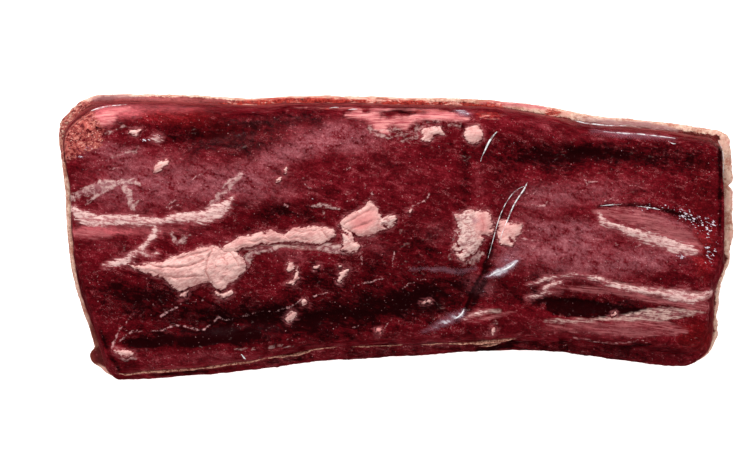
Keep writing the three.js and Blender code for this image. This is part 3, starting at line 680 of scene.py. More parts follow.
# Sharp wrinkles and highlight streaks of the film, made as white ribs that are painted highlights: pixel x,
# pixel y, half width
CREASE_HIGHLIGHTS = {
    "curved": ((497, 131.5, 0.2), (493, 136, 0.8), (488.5, 143, 1), (485, 150.5, 0.7),
        (481.5, 158, 0.4), (480.5, 162, 0.1)),
    "long": ((527.5, 182, 0.2), (524.5, 188.5, 0.8), (518, 198, 0.6), (512, 208.5, 0.7),
        (507.5, 220, 0.6), (503, 232, 0.4), (499.5, 242, 0.1)),
    "beside": ((524.5, 186, 0.1), (516, 190.5, 0.3), (508, 200, 0.4), (502, 211, 0.4), (497, 225, 0.35),
        (492.5, 242, 0.3), (488, 258, 0.1)),
    "fold_top": ((489, 276, 0.2), (497, 272, 0.8), (507, 268.5, 0.9), (514, 263.5, 0.6),
        (517, 259, 0.2)),
    "fold_spine": ((452, 320, 0.1), (458, 317, 0.7), (462, 313.5, 0.9), (464, 309, 0.2)),
    "far_streak": ((571, 118, 0.1), (580, 123.5, 0.6), (596, 126, 0.8), (612, 125.5, 0.6),
        (626, 124.5, 0.2)),
    "far_streak_b": ((603, 131.5, 0.1), (620, 134, 0.5), (640, 135, 0.9), (656, 134.2, 0.7),
        (668, 133.5, 0.4), (675, 136, 0.2)),
    "far_hook": ((668, 140, 0.1), (673, 144.5, 0.5), (676, 143.5, 0.1)),
    "left_streak": ((91, 109.5, 0.3), (98, 109.3, 0.9), (108, 107, 0.7), (118, 104, 0.5),
        (127, 102, 0.2)),
    "far_tick": ((329, 110.8, 0.2), (335, 107.5, 0.5), (339, 104.5, 0.2)),
    "far_tick_b": ((348, 110.2, 0.2), (353, 109, 0.5), (358, 109, 0.2)),
    "right_line": ((722.6, 139, 0.1), (723.5, 150, 0.5), (724, 170, 0.4), (725, 189, 0.1)),
    "near_glint": ((241, 353.5, 0.3), (244, 357, 0.8), (246, 360.5, 0.2)),
    "tongue_top": ((600, 206, 0.1), (612, 204.8, 0.4), (621, 204.3, 0.1)),
    "tongue_top_b": ((636, 206.2, 0.1), (648, 207.5, 0.5), (660, 209.5, 0.2)),
}
# Soft areas again: dark red places on the rim's bare fat, towards the near end of its left side
BLUSH_AREAS = ((97, 357, 9, 8, 0, 1.2), (95, 330, 12, 40, -20, 0.9), (84, 290, 8, 30, -15, 0.4))
# Foam in the far left corner, and the salmon lump in it
FOAM_OUTLINE = (
    (52, 128), (56, 117), (64, 110), (70, 103), (79, 99), (90, 103), (94, 111), (97, 120), (103, 128),
    (99, 135), (104, 143), (98, 149), (88, 153), (76, 158), (62, 162), (54, 158), (51, 144),
)
SALMON_AREAS = ((89, 127, 6, 6, 0, 1), (83, 122, 4, 4, 0, 0.6), (74, 118, 3, 4, 0, 0.4))
# Soft areas of deeper red
DEEP_AREAS = (
    (704, 248, 14, 34, 0, 1.2), (697, 336, 18, 16, 0, 1.5), (172, 117, 50, 9, 0, 1.2),
    (230, 135, 50, 14, 0, 0.5), (562, 120, 14, 5, 0, 0.6), (560, 300, 60, 30, 0, 0.2),
    (700, 175, 16, 30, 0, 0.4), (106, 240, 30, 12, 0, 0.3), (120, 300, 26, 30, 0, 0.25),
    (640, 200, 60, 14, 0, 0.3),
)
# How wide the rim's bare fat is, in mm: (where along the side, from -1 to 1, and width)
BARE_LEFT = ((-1, 0.7), (-0.5, 1.1), (-0.2, 1.7), (0, 2.1), (0.3, 2.1), (0.7, 1.8), (1, 0.8))
BARE_RIGHT = ((-1, 1.6), (-0.8, 0.8), (-0.4, 0.7), (-0.12, 0.9), (0, 2.8), (0.5, 3.4), (1, 2.8))
BARE_FAR = (
    (-1, 1), (-0.7, 0.8), (-0.5, 0.9), (-0.3, 1.2), (0.2, 1.6), (0.35, 2.6), (0.6, 2.6), (0.9, 1.8),
    (1, 1.4),
)
BARE_NEAR = 1.5
# Soft areas of juice
JUICE_AREAS = (
    (490, 112, 15, 8, 8, 1.5), (553, 113, 9, 4, 0, 1), (420, 105, 60, 4, 0, 0.9),
    (300, 101, 60, 5, 0, 1.1), (360, 104, 40, 4, 0, 0.8), (445, 108, 40, 4, 4, 0.9),
)


# ---------------------------------------------------------------- reading those places
def stroke_depth(px, py, points):
    """How far inside a stroke each pixel is, in pixels, and below 0 outside it."""
    depth = np.full(px.shape, -FAR_OFF)
    points = np.array(points, float)
    reach = EDGE_REACH + points[:, 2].max()
    near = ((px > points[:, 0].min() - reach) & (px < points[:, 0].max() + reach)
            & (py > points[:, 1].min() - reach) & (py < points[:, 1].max() + reach))
    x, y = px[near], py[near]
    best = np.full(x.shape, -FAR_OFF)
    for start, end in zip(points[:-1], points[1:]):
        dx, dy = end[0] - start[0], end[1] - start[1]
        t = np.clip(((x - start[0]) * dx + (y - start[1]) * dy) / (dx * dx + dy * dy + 1e-9), 0, 1)
        half = start[2] + (end[2] - start[2]) * t
        best = np.maximum(best, half - np.hypot(x - start[0] - t * dx, y - start[1] - t * dy))
    depth[near] = best
    return depth


def outline_depth(px, py, corners):
    """How far inside a closed outline each pixel is, in pixels, and below 0 outside it."""
    depth = np.full(px.shape, -FAR_OFF)
    corners = np.array(corners, float)
    low, high = corners.min(0) - EDGE_REACH, corners.max(0) + EDGE_REACH
    near = (px > low[0]) & (px < high[0]) & (py > low[1]) & (py < high[1])
    x, y = px[near], py[near]
    distance = np.full(x.shape, FAR_OFF)
    inside = np.zeros(x.shape, bool)
    for start, end in zip(corners, np.roll(corners, -1, 0)):
        dx, dy = end - start
        t = np.clip(((x - start[0]) * dx + (y - start[1]) * dy) / (dx * dx + dy * dy), 0, 1)
        distance = np.minimum(distance, np.hypot(x - start[0] - t * dx, y - start[1] - t * dy))
        if dy:
            crossing = start[0] + (y - start[1]) / dy * dx
            inside ^= ((start[1] > y) != (end[1] > y)) & (x < crossing)
    depth[near] = np.where(inside, distance, -distance)
    return depth


def deepest(px, py, strokes, outlines=None):
    """How far inside any of some strokes and outlines each pixel is."""
    depth = np.full(px.shape, -FAR_OFF)
    for points in strokes.values():
        depth = np.maximum(depth, stroke_depth(px, py, points))
    for corners in (outlines or {}).values():
        depth = np.maximum(depth, outline_depth(px, py, corners))
    return depth


def veil_at(px, py):
    """How much of the meat its thin skins hide, from 0 to 1."""
    hidden = np.zeros(px.shape)
    for points in VEIL_STROKES.values():
        depth = stroke_depth(px, py, [point[:3] for point in points])
        points = np.array(points, float)
        weight = np.zeros(px.shape)
        total = np.full(px.shape, 1e-6)
        for x, y, _, share in points:
            near = np.exp(-((px - x) ** 2 + (py - y) ** 2) / 90)
            weight += near * share
            total += near
        hidden = np.maximum(hidden, step(-2.2, 2.2, depth) * weight / total)
    return hidden


def areas(px, py, shapes):
    """The sum of soft ovals, whose turn is anticlockwise on the photograph."""
    total = np.zeros(px.shape)
    for cx, cy, half_length, half_width, turn, strength in shapes:
        c, s = math.cos(math.radians(turn)), math.sin(math.radians(turn))
        a = ((px - cx) * c - (py - cy) * s) / half_length
        b = ((px - cx) * s + (py - cy) * c) / half_width
        total += strength * np.exp(-(a * a + b * b))
    return total


def torn(px, py, amount, size, seed):
    """The pixel places pushed about, so that what is drawn there gets an uneven edge."""
    return (px + amount * noise(px, py, size, seed), py + amount * noise(px, py, size, seed + 5))


def frayed(px, py):
    """The pixel places as fat is drawn at: its outline wanders widely and is frayed finely into
    strands that lie along the loin."""
    qx, qy = torn(px, py, 2.2, 9, 3)
    along, across = px * 0.3 + 0.1 * py, py * 1.3
    return qx + 1.5 * noise(along, across, 3.2, 31), qy + 0.9 * noise(along, across, 3.2, 36)


def wandering(px, py):
    """The pixel places as the large soft areas are drawn at."""
    return torn(px, py, 4.5, 22, 11)


def surface_fields(px, py):
    """All that the photograph shows at each pixel, by name."""
    qx, qy = frayed(px, py)
    fat = np.minimum(deepest(qx, qy, FAT_STROKES, FAT_OUTLINES), -deepest(qx, qy, GAP_STROKES))
    sx, sy = wandering(px, py)
    lx, ly = torn(px, py, 1.2, 6, 21)
    juice = step(-2.5, 2, deepest(qx, qy, JUICE_STROKES)) + areas(sx, sy, JUICE_AREAS)
    shadow = step(-2.4, 1.5, deepest(lx, ly, THIN_SHADOWS))
    return {
        "fat": np.clip(fat, -9, 12),
        "thread": np.clip(deepest(*torn(px, py, 1.3, 7, 8), THREADS), -6, 3),
        "veil": np.clip(veil_at(qx, qy), 0, 1),
        # Painted shade, from the shade areas, thin shadows and shaded hollows; the relief sinks there too
        "dark": np.clip(areas(sx, sy, SHADE_AREAS) * 0.8 + shadow * 0.8
                        + 0.8 * step(-8, 5, deepest(sx, sy, HOLLOW_SHADE_STROKES))
                        + 0.8 * step(-1.5, 2.5, deepest(lx, ly, {}, HOLLOW_SHADE_OUTLINES)), 0, 1.6),
        "muscle": step(-2.5, 3, deepest(qx, qy, MUSCLE_STROKES)),
        "sheath": step(-3, 3, deepest(lx, ly, SHEATH_STROKES)),
        "haze": np.clip(areas(sx, sy, HAZE_AREAS), 0, 1.2),
        "pink": np.clip(areas(sx, sy, PINK_AREAS), 0, 1.2),
        "band": step(-3, 2, deepest(lx, ly, BAND_STROKES)),
        "juice": np.clip(juice, 0, 1.4),
        "foam": step(-5, 4, outline_depth(sx, sy, FOAM_OUTLINE)),
        "deep": np.clip(areas(sx, sy, DEEP_AREAS), 0, 1.2),
    }


# ---------------------------------------------------------------- making meshes
def select_only(pieces):
    """Selects some pieces and makes the first of them active."""
    bpy.ops.object.select_all(action="DESELECT")
    for piece in pieces:
        piece.select_set(True)
    bpy.context.view_layer.objects.active = pieces[0]


def points_of(piece):
    """The x, y and z of its vertices, each as a row."""
    co = np.zeros(len(piece.data.vertices) * 3, np.float32)
    piece.data.vertices.foreach_get("co", co)
    return co.reshape(-1, 3).T.astype(float)


def move_points(piece, points):
    """Puts its vertices at points in metres."""
    piece.data.vertices.foreach_set("co", points.astype(np.float32).ravel())


def start_grid(name, cells):
    """A flat grid from -1 to 1 both ways, in edit mode."""
    bpy.ops.object.select_all(action="DESELECT")
    bpy.ops.mesh.primitive_grid_add(x_subdivisions=cells[0], y_subdivisions=cells[1], size=2)
    piece = bpy.context.object
    piece.name = piece.data.name = name
    bpy.ops.object.mode_set(mode="EDIT")
    return piece


def start_piece(name, cells, rings):
    """A grid whose border is drawn down `rings` times and then closed at its middle."""
    piece = start_grid(name, cells)
    bpy.ops.mesh.select_mode(type="EDGE")
    bpy.ops.mesh.select_all(action="DESELECT")
    bpy.ops.mesh.select_non_manifold()
    for _ in range(rings + 1):
        bpy.ops.mesh.extrude_edges_move(TRANSFORM_OT_translate={"value": (0, 0, -1)})
    bpy.ops.mesh.merge(type="CENTER")
    bpy.ops.object.mode_set(mode="OBJECT")
    return piece


def start_slab(name, cells, rings):
    """A grid drawn down `rings` times with all its faces, so that its underside is a grid too."""
    piece = start_grid(name, cells)
    bpy.ops.mesh.select_mode(type="FACE")
    bpy.ops.mesh.select_all(action="SELECT")
    for _ in range(rings):
        bpy.ops.mesh.extrude_region_move(TRANSFORM_OT_translate={"value": (0, 0, -1)})
    bpy.ops.object.mode_set(mode="OBJECT")
    return piece


def cage_of(piece, rings):
    """The (u, v, ring) of each vertex of a piece just started, and the one it was closed at."""
    u, v, w = points_of(piece)
    ring = np.round(-w)
    return np.clip(u, -1, 1), np.clip(v, -1, 1), np.minimum(ring, rings), ring > rings


def place(piece, x, y, z):
    """Moves the vertices, in millimetres of the outline, and turns the faces outwards."""
    move_points(piece, (np.stack((x, y, z), -1) + SHIFT) * MM)
    select_only([piece])
    bpy.ops.object.mode_set(mode="EDIT")
    bpy.ops.mesh.select_all(action="SELECT")
    bpy.ops.mesh.normals_make_consistent(inside=False)
    bpy.ops.object.mode_set(mode="OBJECT")
    bpy.ops.object.shade_smooth()


def remember(piece, name, values):
    """Keeps one number a vertex, for the material."""
    attribute = piece.data.attributes.new(name, "FLOAT", "POINT")
    attribute.data.foreach_set("value", np.asarray(values, np.float32))


def frame_shift():
    """How far the frame has moved the outline, so that its middle is over the origin."""
    along, across = np.linspace(-1, 1, 61), np.linspace(-1, 1, 25)
    near, left = -np.ones(len(along)), -np.ones(len(across))
    u = np.concatenate((along, along, left, -left))
    v = np.concatenate((near, -near, across, across))
    x, _ = fat_plan(u, v, 0)
    rings = np.arange(SHOULDER_RINGS + WALL_RINGS + 1.0)
    _, own_near, _, _ = lean_at(np.tile(along, len(rings)), np.tile(near, len(rings)),
                                np.repeat(rings, len(along)))
    low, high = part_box("fat_cap")
    lean_low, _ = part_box("lean")
    return np.array(((low.x + high.x) / MM / 2 - (x.min() + x.max()) / 2,
                     lean_low.y / MM - own_near.min(), 0))


SHIFT = frame_shift()


def end_share(u, v):
    """1 on the lean's two end walls, and less towards the far corners."""
    return step(0.98, 0.8, v) * (abs(u) > BORDER)


def lean_fields(x, y, z, u, v, down):
    """The fields on the lean. What lies on the top fades out a little way down the walls, most of
    it soonest on the far one. The painted shade and the hazy and deep red places go on down to the foot."""
    px, py = photo_of(x, y, z)
    end = end_share(u, v)
    fields = surface_fields(px, py + 9 * end * step(0, 0.4, down) * noise(y * 0.6, z, 6, 97, 2))
    near = (v < -BORDER) * (1 - end)
    stop = 0.04 + 0.16 * end + 0.14 * near
    kept = 1 - step(stop, stop + 0.2 + 0.35 * end, down)
    for name, nothing in (("fat", -9), ("thread", -6), ("band", 0), ("sheath", 0), ("foam", 0),
                          ("juice", 0)):
        fields[name] = fields[name] * kept + nothing * (1 - kept)
    on_far = (v > BORDER) * (1 - end)
    short = 1 - step(0.04, 0.24 + 0.45 * on_far, down)
    for name in ("veil", "muscle", "pink"):
        fields[name] = fields[name] * short
    fields["juice"] = fields["juice"] * (1 - 0.35 * on_far - 0.3 * step(0, 0.15, down))
    return fields


def make_lean():
    rings = SHOULDER_RINGS + WALL_RINGS + 1
    piece = start_piece("lean_meat", MESH_COUNTS["lean"], rings)
    u, v, ring, closing = cage_of(piece, rings)
    x, y, z, down = lean_at(u, v, ring)
    fields = lean_fields(x, y, z, u, v, down)
    top = 1 - step(0, 0.15, down)
    relief = (0.45 * step(-3, 5, fields["fat"]) + 0.22 * step(-1, 1, fields["thread"]) + 0.3 * fields["veil"]
              + 0.3 * fields["band"] - 0.55 * np.clip(fields["dark"], 0, 1.2)
              + 0.5 * noise(x * 0.6, y, 5, 60) + 0.2 * noise(x, y, 1.6, 70))
    froth = fields["foam"] + 0.4 * fields["juice"]
    relief = relief + froth * (0.5 * noise(x, y, 2.6, 91) + 0.45 * noise(x, y, 1.2, 92, 2))
    z = z + top * relief
    x, y = uneven(x, y, z, u, v, down)
    x, y = np.where(closing, 0, x), np.where(closing, 0, y)
    place(piece, x, y, z)
    for name, values in fields.items():
        remember(piece, name, values)
    remember(piece, "salmon", areas(*photo_of(x, y, z), SALMON_AREAS))
    end = end_share(u, v)
    remember(piece, "wall", np.where(v < -BORDER, 0, step(0.25 + 0.1 * end, 0.6 + 0.25 * end, down)))
    piece.data.materials.append(meat_finish())
    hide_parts("lean")
    return piece


def ragged_rim(u, v, way, x, y, z):
    """Pushes the fat's rim in and out, most of all on the right and at the far left corner."""
    corner = step(0.45, 1, v) * step(-0.88, -1, u)
    share = 0.4 + 0.6 * step(0.9, 1, u) + 0.3 * step(0.85, 1, v) + 0.7 * corner
    rough = RIM_ROUGHNESS * share * step(1, 0.7, way)
    lumps = noise(x * 1.3 + z, y - z, 5, 81) + 0.8 * noise(x + z * 2, y * 1.2, 1.8, 82)
    dents = -NOTCH[2] * np.exp(-(((y - NOTCH[0]) / NOTCH[1]) ** 2)) * (u > BORDER)
    dents = dents + TAIL[2] * np.exp(-(((y - TAIL[0]) / TAIL[1]) ** 4)) * (u < -BORDER)
    return (x + (rough * lumps + dents) * out_sign(u),
            y + rough * lumps * 0.6 * (v > BORDER))


def rim_at(u, v, way, gap=0):
    """The fat's rim from its top (way 0) to its foot (way 1), for a skin that lies `gap` outside
    it. Returns x, y, z and how far in the rim stands there."""
    outward = through(FAT_RIM, way) - gap
    x, y = fat_plan(u, v, outward)
    z = fat_height(x, y) * through(FAT_RIM_HEIGHT, way)
    return *ragged_rim(u, v, way, x, y, z), z, outward


def bare_fat(u, v, outward):
    """1 on the rim's bare fat and 0 on what the meat's skin runs over."""
    sides = np.stack(((1 + u) * LENGTH, (1 - u) * LENGTH, (1 - v) * WIDTH, (1 + v) * WIDTH)) / 2
    widths = np.stack((through(BARE_LEFT, v), through(BARE_RIGHT, v), through(BARE_FAR, u),
                       0 * u + BARE_NEAR))
    nearest = sides.argmin(0)[None]
    inward = np.take_along_axis(sides, nearest, 0)[0] + outward
    width = np.take_along_axis(widths, nearest, 0)[0]
    return step(width + 1.1, width - 0.4, inward)


def make_fat():
    piece = start_slab("back_fat", MESH_COUNTS["fat"], RIM_RINGS)
    u, v, ring, _ = cage_of(piece, RIM_RINGS)
    way = ring / RIM_RINGS
    x, y, z, outward = rim_at(u, v, way)
    px, py = photo_of(x, y, z)
    fields = surface_fields(px, py)
    upper = step(0.7, 0.25, way)
    froth = fields["foam"] + 0.5 * fields["juice"]
    relief = upper * (0.3 * noise(x, y, 4, 84) + 0.25 * noise(x, y, 1.7, 83)
                      + 0.5 * froth * noise(x, y, 1.3, 92, 2))
    place(piece, x, y, np.where(way >= 1, UNDERSIDE_LIFT, z + UNDERSIDE_LIFT + relief))
    # Among these, dark is painted shade
    for name in ("juice", "band", "dark", "pink", "veil", "haze", "sheath", "deep"):
        remember(piece, name, fields[name] * upper)
    remember(piece, "foam", fields["foam"] * step(0.7, 0.3, way))
    remember(piece, "salmon", areas(px, py, SALMON_AREAS) * upper)
    remember(piece, "blush", areas(px, py, BLUSH_AREAS) * upper)
    remember(piece, "bare", np.where(way > 0.5, 1, bare_fat(u, v, outward)))
    remember(piece, "side", step(0.3, 0.6, way))
    piece.data.materials.append(fat_finish())
    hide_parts("fat_cap")
    return piece


# ---------------------------------------------------------------- what lies on the meat
def tree_of(pieces):
    """The skins of some pieces, for rays to land on, in metres."""
    vertices, faces = [], []
    for piece in pieces:
        start = len(vertices)
        vertices += [vertex.co.copy() for vertex in piece.data.vertices]
        faces += [[start + i for i in face.vertices] for face in piece.data.polygons]
    return BVHTree.FromPolygons(vertices, faces)


def land(tree, px, py):
    """Where the photograph's lines of sight meet the skins, in metres: points, and if they do."""
    eye = (LOOKED_AT + SHIFT + VIEW_BACK * VIEW_DISTANCE) * MM
    across = (px - PHOTO[0] / 2) / PIXELS_PER_MM * MM
    upward = (PHOTO[1] / 2 - py) / PIXELS_PER_MM * MM
    points = ((LOOKED_AT + SHIFT) * MM + across[:, None] * np.array((1, 0, 0))
              + upward[:, None] * VIEW_UP)
    landed = np.zeros((len(px), 3))
    met = np.zeros(len(px), bool)
    for i, point in enumerate(points):
        hit = tree.ray_cast(eye, point - eye)[0]
        if hit is not None:
            landed[i], met[i] = hit, True
    return landed, met


def start_pad(name, low, high):
    """A flat grid over a box of the photograph, whose x and y are pixels."""
    piece = start_grid(name, [max(int((high[i] - low[i]) / PAD_CELL), 4) for i in (0, 1)])
    bpy.ops.transform.resize(value=((high[0] - low[0]) / 2, (high[1] - low[1]) / 2, 1))
    bpy.ops.transform.translate(value=((high[0] + low[0]) / 2, (high[1] + low[1]) / 2, 0))
    bpy.ops.object.mode_set(mode="OBJECT")
    return piece


def choose(piece, chosen):
    """Selects some vertices, and leaves the piece in edit mode."""
    bpy.ops.object.mode_set(mode="EDIT")
    bpy.ops.mesh.select_mode(type="VERT")
    bpy.ops.mesh.select_all(action="DESELECT")
    bpy.ops.object.mode_set(mode="OBJECT")
    piece.data.vertices.foreach_set("select", chosen)
    bpy.ops.object.mode_set(mode="EDIT")


def pad_depth(px, py, part):
    """How far inside one stroke or outline of the fat each pixel is, less the gaps in it."""
    qx, qy = frayed(px, py)
    if part in FAT_STROKES:
        depth = stroke_depth(qx, qy, FAT_STROKES[part])
    else:
        depth = outline_depth(qx, qy, FAT_OUTLINES[part])
    return np.minimum(depth, -deepest(qx, qy, GAP_STROKES))


def pad_height(px, py, depth, fold, rise, soft):
    """How far a pad's skin stands out of what lies under it, in millimetres."""
    beyond = depth + PAD_FRAY
    crown = rise * (1 - np.exp(-np.maximum(beyond, 0) / soft)) + 0.4 * np.minimum(beyond, 0)
    lobes = (noise(px, py, 17, 44) * 0.35 + noise(px + 0.6 * py, py, 6, 45) * 0.16
             + noise(px, py, 2.5, 46) * 0.06)
    return crown * (1 + 0.45 * lobes) + rise * step(0, 3, depth) * (0.5 * lobes - 0.32 * fold)


def make_pad(name, tree, part, rise, soft):
    """A pad that stands `rise` mm out of what lies under it and dives in at its outline. Its
    crown is rounded over about `soft` pixels, with folds where FOLD_STROKES has them."""
    corners = np.array([point[:2] for point in FAT_STROKES.get(part) or FAT_OUTLINES[part]], float)
    piece = start_pad(name, corners.min(0) - PAD_MARGIN, corners.max(0) + PAD_MARGIN)
    px, py, _ = points_of(piece)
    _, met = land(tree, px, py)
    choose(piece, (pad_depth(px, py, part) < -PAD_EDGE) | ~met)
    bpy.ops.mesh.delete(type="VERT")
    bpy.ops.mesh.select_all(action="SELECT")
    bpy.ops.mesh.extrude_region_move(TRANSFORM_OT_translate={"value": (0, 0, -1)})
    bpy.ops.object.mode_set(mode="OBJECT")
    px, py, layer = points_of(piece)
    landed, _ = land(tree, px, py)
    depth = pad_depth(px, py, part)
    fold = np.exp(-((deepest(*torn(px, py, 1.8, 7, 41), FOLD_STROKES) - 1) / 1.05) ** 2)
    height = np.where(layer < -0.5, -PAD_ROOT, pad_height(px, py, depth, fold, rise, soft))
    place(piece, *((landed / MM - SHIFT).T + np.stack((0 * px, 0 * px, height))))
    remember(piece, "depth", depth)
    remember(piece, "fold", fold * step(0, 3, depth))
    remember(piece, "rosy", areas(px, py, ROSY_AREAS))
    remember(piece, "grey", areas(px, py, GREY_AREAS))
    sx, sy = wandering(px, py)
    # dark is painted shade
    for field, shapes in (("dark", SHADE_AREAS), ("haze", HAZE_AREAS), ("deep", DEEP_AREAS)):
        remember(piece, field, np.clip(areas(sx, sy, shapes), 0, 1.2))
    return piece


def join(pieces, name):
    """Makes one piece of several."""
    select_only(pieces)
    if len(pieces) > 1:
        bpy.ops.object.join()
    pieces[0].name = pieces[0].data.name = name
    return pieces[0]


def make_pads(tree):
    finish = pad_finish()
    made = []
    for name, (parts, rise, soft) in PADS.items():
        piece = join([make_pad(name, tree, part, rise, soft) for part in parts], name)
        piece.data.materials.append(finish)
        made.append(piece)
    return made


def blurred(heights, times):
    """A table of heights, each smoothed with its four neighbours."""
    for _ in range(times):
        wide = np.pad(heights, 1, mode="edge")
        heights = (2 * heights + wide[:-2, 1:-1] + wide[2:, 1:-1] + wide[1:-1, :-2] + wide[1:-1, 2:]) / 6
    return heights


def film_top(tree, u, v, ring):
    """How far the film lies above the lean's plain top at each (u, v), in millimetres."""
    nx, ny = MESH_COUNTS["film"]
    column = np.round((u + 1) / 2 * nx).astype(int)
    row = np.round((v + 1) / 2 * ny).astype(int)
    heights = np.zeros((nx + 1, ny + 1))
    x, y, plain_top, _ = lean_at(u, v, 0 * ring)
    for i in np.flatnonzero(ring == 0):
        point = (np.array((x[i], y[i], 60)) + SHIFT) * MM
        hit = tree.ray_cast(Vector(point), DOWN)[0]
        heights[column[i], row[i]] = hit.z / MM - plain_top[i]
    heights = np.maximum(heights, blurred(heights, FILM_BRIDGES)) + FILM_GAP
    return blurred(heights, 1)[column, row]


def make_film(tree):
    """The skin-tight film: over the top, down the lean's walls, out over the fat's rim and under."""
    wall = SHOULDER_RINGS + WALL_RINGS
    rings = wall + 1 + RIM_RINGS
    piece = start_piece("vacuum_film", MESH_COUNTS["film"], rings)
    u, v, ring, closing = cage_of(piece, rings)
    above = film_top(tree, u, v, ring)
    x, y, z, down = lean_at(u, v, np.minimum(ring, wall))
    x, y = uneven(x, y, z, u, v, down)
    away = FILM_GAP * np.clip(ring / SHOULDER_RINGS, 0, 1) + FILM_FILLET * down**4
    x, y = x + away * out_sign(u), y + away * out_sign(v)
    z = z + above * (1 - down) + FILM_GAP * down
    way = np.clip((ring - wall - 1) / RIM_RINGS, 0, 1)
    rx, ry, rz, _ = rim_at(u, v, way, FILM_GAP)
    on_rim = ring > wall
    x, y = np.where(on_rim, rx, x), np.where(on_rim, ry, y)
    z = np.where(on_rim, rz + (UNDERSIDE_LIFT + FILM_GAP) * (1 - way) + FLOOR_GAP, z)
    x, y = np.where(closing, 0, x), np.where(closing, 0, y)
    px, py = photo_of(x, y, z)
    place(piece, x, y, z)
    # Painted glare and sparkles, kept for the film's colour
    glare = np.zeros(px.shape)
    for points in GLARE_STROKES.values():
        strength = points[0][3]
        depth = stroke_depth(*torn(px, py, 1.6, 9, 51), [point[:3] for point in points])
        glare = np.maximum(glare, strength * step(-3, max(point[2] for point in points), depth))
    seen = np.where(on_rim, 0, 1 - step(0, 0.15, down))
    remember(piece, "glare", glare * seen)
    remember(piece, "sparkle", np.clip(areas(px, py, SPARKLE_AREAS), 0, 1) * seen)
    piece.data.materials.append(film_finish())
    return piece


def land_along(tree, points, drop, rounds):
    """Where a stroke's points lie on the skins, in metres, with its height evened out along it
    and no point more than `drop` mm below its highest: a wall is seen nearly edge-on."""
    landed, met = land(tree, points[:, 0], points[:, 1])
    landed, half = landed[met], points[met, 2]
    heights = landed[:, 2]
    for _ in range(rounds):
        heights = np.convolve(np.pad(heights, 1, mode="edge"), (0.25, 0.5, 0.25), "valid")
    heights = np.maximum(heights, heights.max() - drop * MM)
    moved = landed + ((heights - landed[:, 2]) / VIEW_BACK[2])[:, None] * VIEW_BACK
    return [tree.find_nearest(Vector(point))[0] for point in moved], half


def rib_curve(name, points, halves):
    """A round rib through points in metres, each with its half width in pixels."""
    curve = bpy.data.curves.new(name, "CURVE")
    curve.dimensions = "3D"
    curve.bevel_depth = MM / PIXELS_PER_MM
    curve.bevel_resolution = 1
    curve.resolution_u = 6
    curve.use_fill_caps = True
    spline = curve.splines.new("BEZIER")
    spline.bezier_points.add(len(points) - 1)
    for bend, point, half in zip(spline.bezier_points, points, halves):
        bend.co = point
        bend.radius = half
        bend.handle_left_type = bend.handle_right_type = "AUTO"
    return curve


def make_ribs(name, tree, strokes, drop, rounds):
    """Thin ribs that follow strokes over the skins."""
    pieces = []
    for points in strokes:
        curve = rib_curve(name, *land_along(tree, np.array(points, float), drop, rounds))
        piece = bpy.data.objects.new(name, curve)
        bpy.context.collection.objects.link(piece)
        pieces.append(piece)
    select_only(pieces)
    bpy.ops.object.convert(target="MESH")
    bpy.ops.object.join()
    piece = bpy.context.object
    piece.name = piece.data.name = name
    bpy.ops.object.shade_smooth()
    return piece


def make_crease_highlights(tree):
    """Sharp wrinkles and highlight streaks of the film as white ribs, a painted highlight, which taper to
    nothing at both ends.
    """
    piece = make_ribs("film_crease_highlights", tree, CREASE_HIGHLIGHTS.values(), drop=2, rounds=3)
    piece.data.materials.append(crease_highlight_finish())
    return piece


def ragged(points):
    """A stroke with a point every few pixels, which wanders a little and changes in width."""
    points = np.array(points, float)
    run = np.concatenate(((0,), np.cumsum(np.hypot(*np.diff(points[:, :2], axis=0).T))))
    x, y, half = (np.interp(np.arange(0, run[-1], LIP_SPACING), run, points[:, i]) for i in (0, 1, 2))
    taper = np.minimum(np.arange(len(x)), np.arange(len(x))[::-1]).clip(0, 3) / 3
    width = half * taper * (1.5 + 0.9 * noise(x, 0 * x, 6, 72))
    return np.stack((x, y + 0.5 * noise(x, 0 * x, 7, 71), width), -1)


def make_lip(tree):
    """The dried lip along the near edge."""
    strokes = [ragged(points) for points in LIP_STROKES.values()]
    piece = make_ribs("near_lip", tree, strokes, drop=14, rounds=40)
    x, y, z = points_of(piece) / MM
    bumps = 0.22 * noise(x, z * 2, 1.6, 73)
    move_points(piece, np.stack((x, y - bumps, z + bumps), -1) * MM)
    piece.data.materials.append(lip_finish())
    return piece


# ---------------------------------------------------------------- materials
def linear(value):
    """One channel of an sRGB colour, from 0 to 255, as light."""
    return value / 255 / 12.92 if value <= 10 else ((value / 255 + 0.055) / 1.055) ** 2.4


def tint(red, green, blue):
    """A colour by its sRGB value, from 0 to 255."""
    return linear(red), linear(green), linear(blue), 1


# The juice's colours: its dark and light red, and where it stands in pools, its dark and light pink
MEAT_JUICE = (tint(104, 12, 15), tint(158, 44, 42), tint(178, 86, 80), tint(206, 136, 126))
FAT_JUICE = (tint(132, 16, 15), tint(200, 70, 58), tint(228, 138, 122), tint(242, 190, 174))


class Signal:
    """A number or colour in a material, so that shader maths is written as plain Python."""

    def __init__(self, finish, socket):
        self.finish, self.socket = finish, socket

    def math(self, operation, first, second=0.0):
        return self.finish.node("ShaderNodeMath", {"operation": operation}, {0: first, 1: second})

    def __add__(self, other):
        return self.math("ADD", self, other)

    def __sub__(self, other):
        return self.math("SUBTRACT", self, other)

    def __mul__(self, other):
        return self.math("MULTIPLY", self, other)

    def __rsub__(self, other):
        return self.math("SUBTRACT", other, self)

    def __abs__(self):
        return self.math("ABSOLUTE", self)

    __radd__, __rmul__ = __add__, __mul__

    def swing(self, amount):
        """A noise as something to add: from -amount / 2 to amount / 2."""
        return (self - 0.5) * amount

    def above(self, low, high):
        """0 below low, 1 above high, and smooth in between."""
        return self.finish.node("ShaderNodeMapRange", {"interpolation_type": "SMOOTHSTEP"},
                                {"Value": self, "From Min": low, "From Max": high})


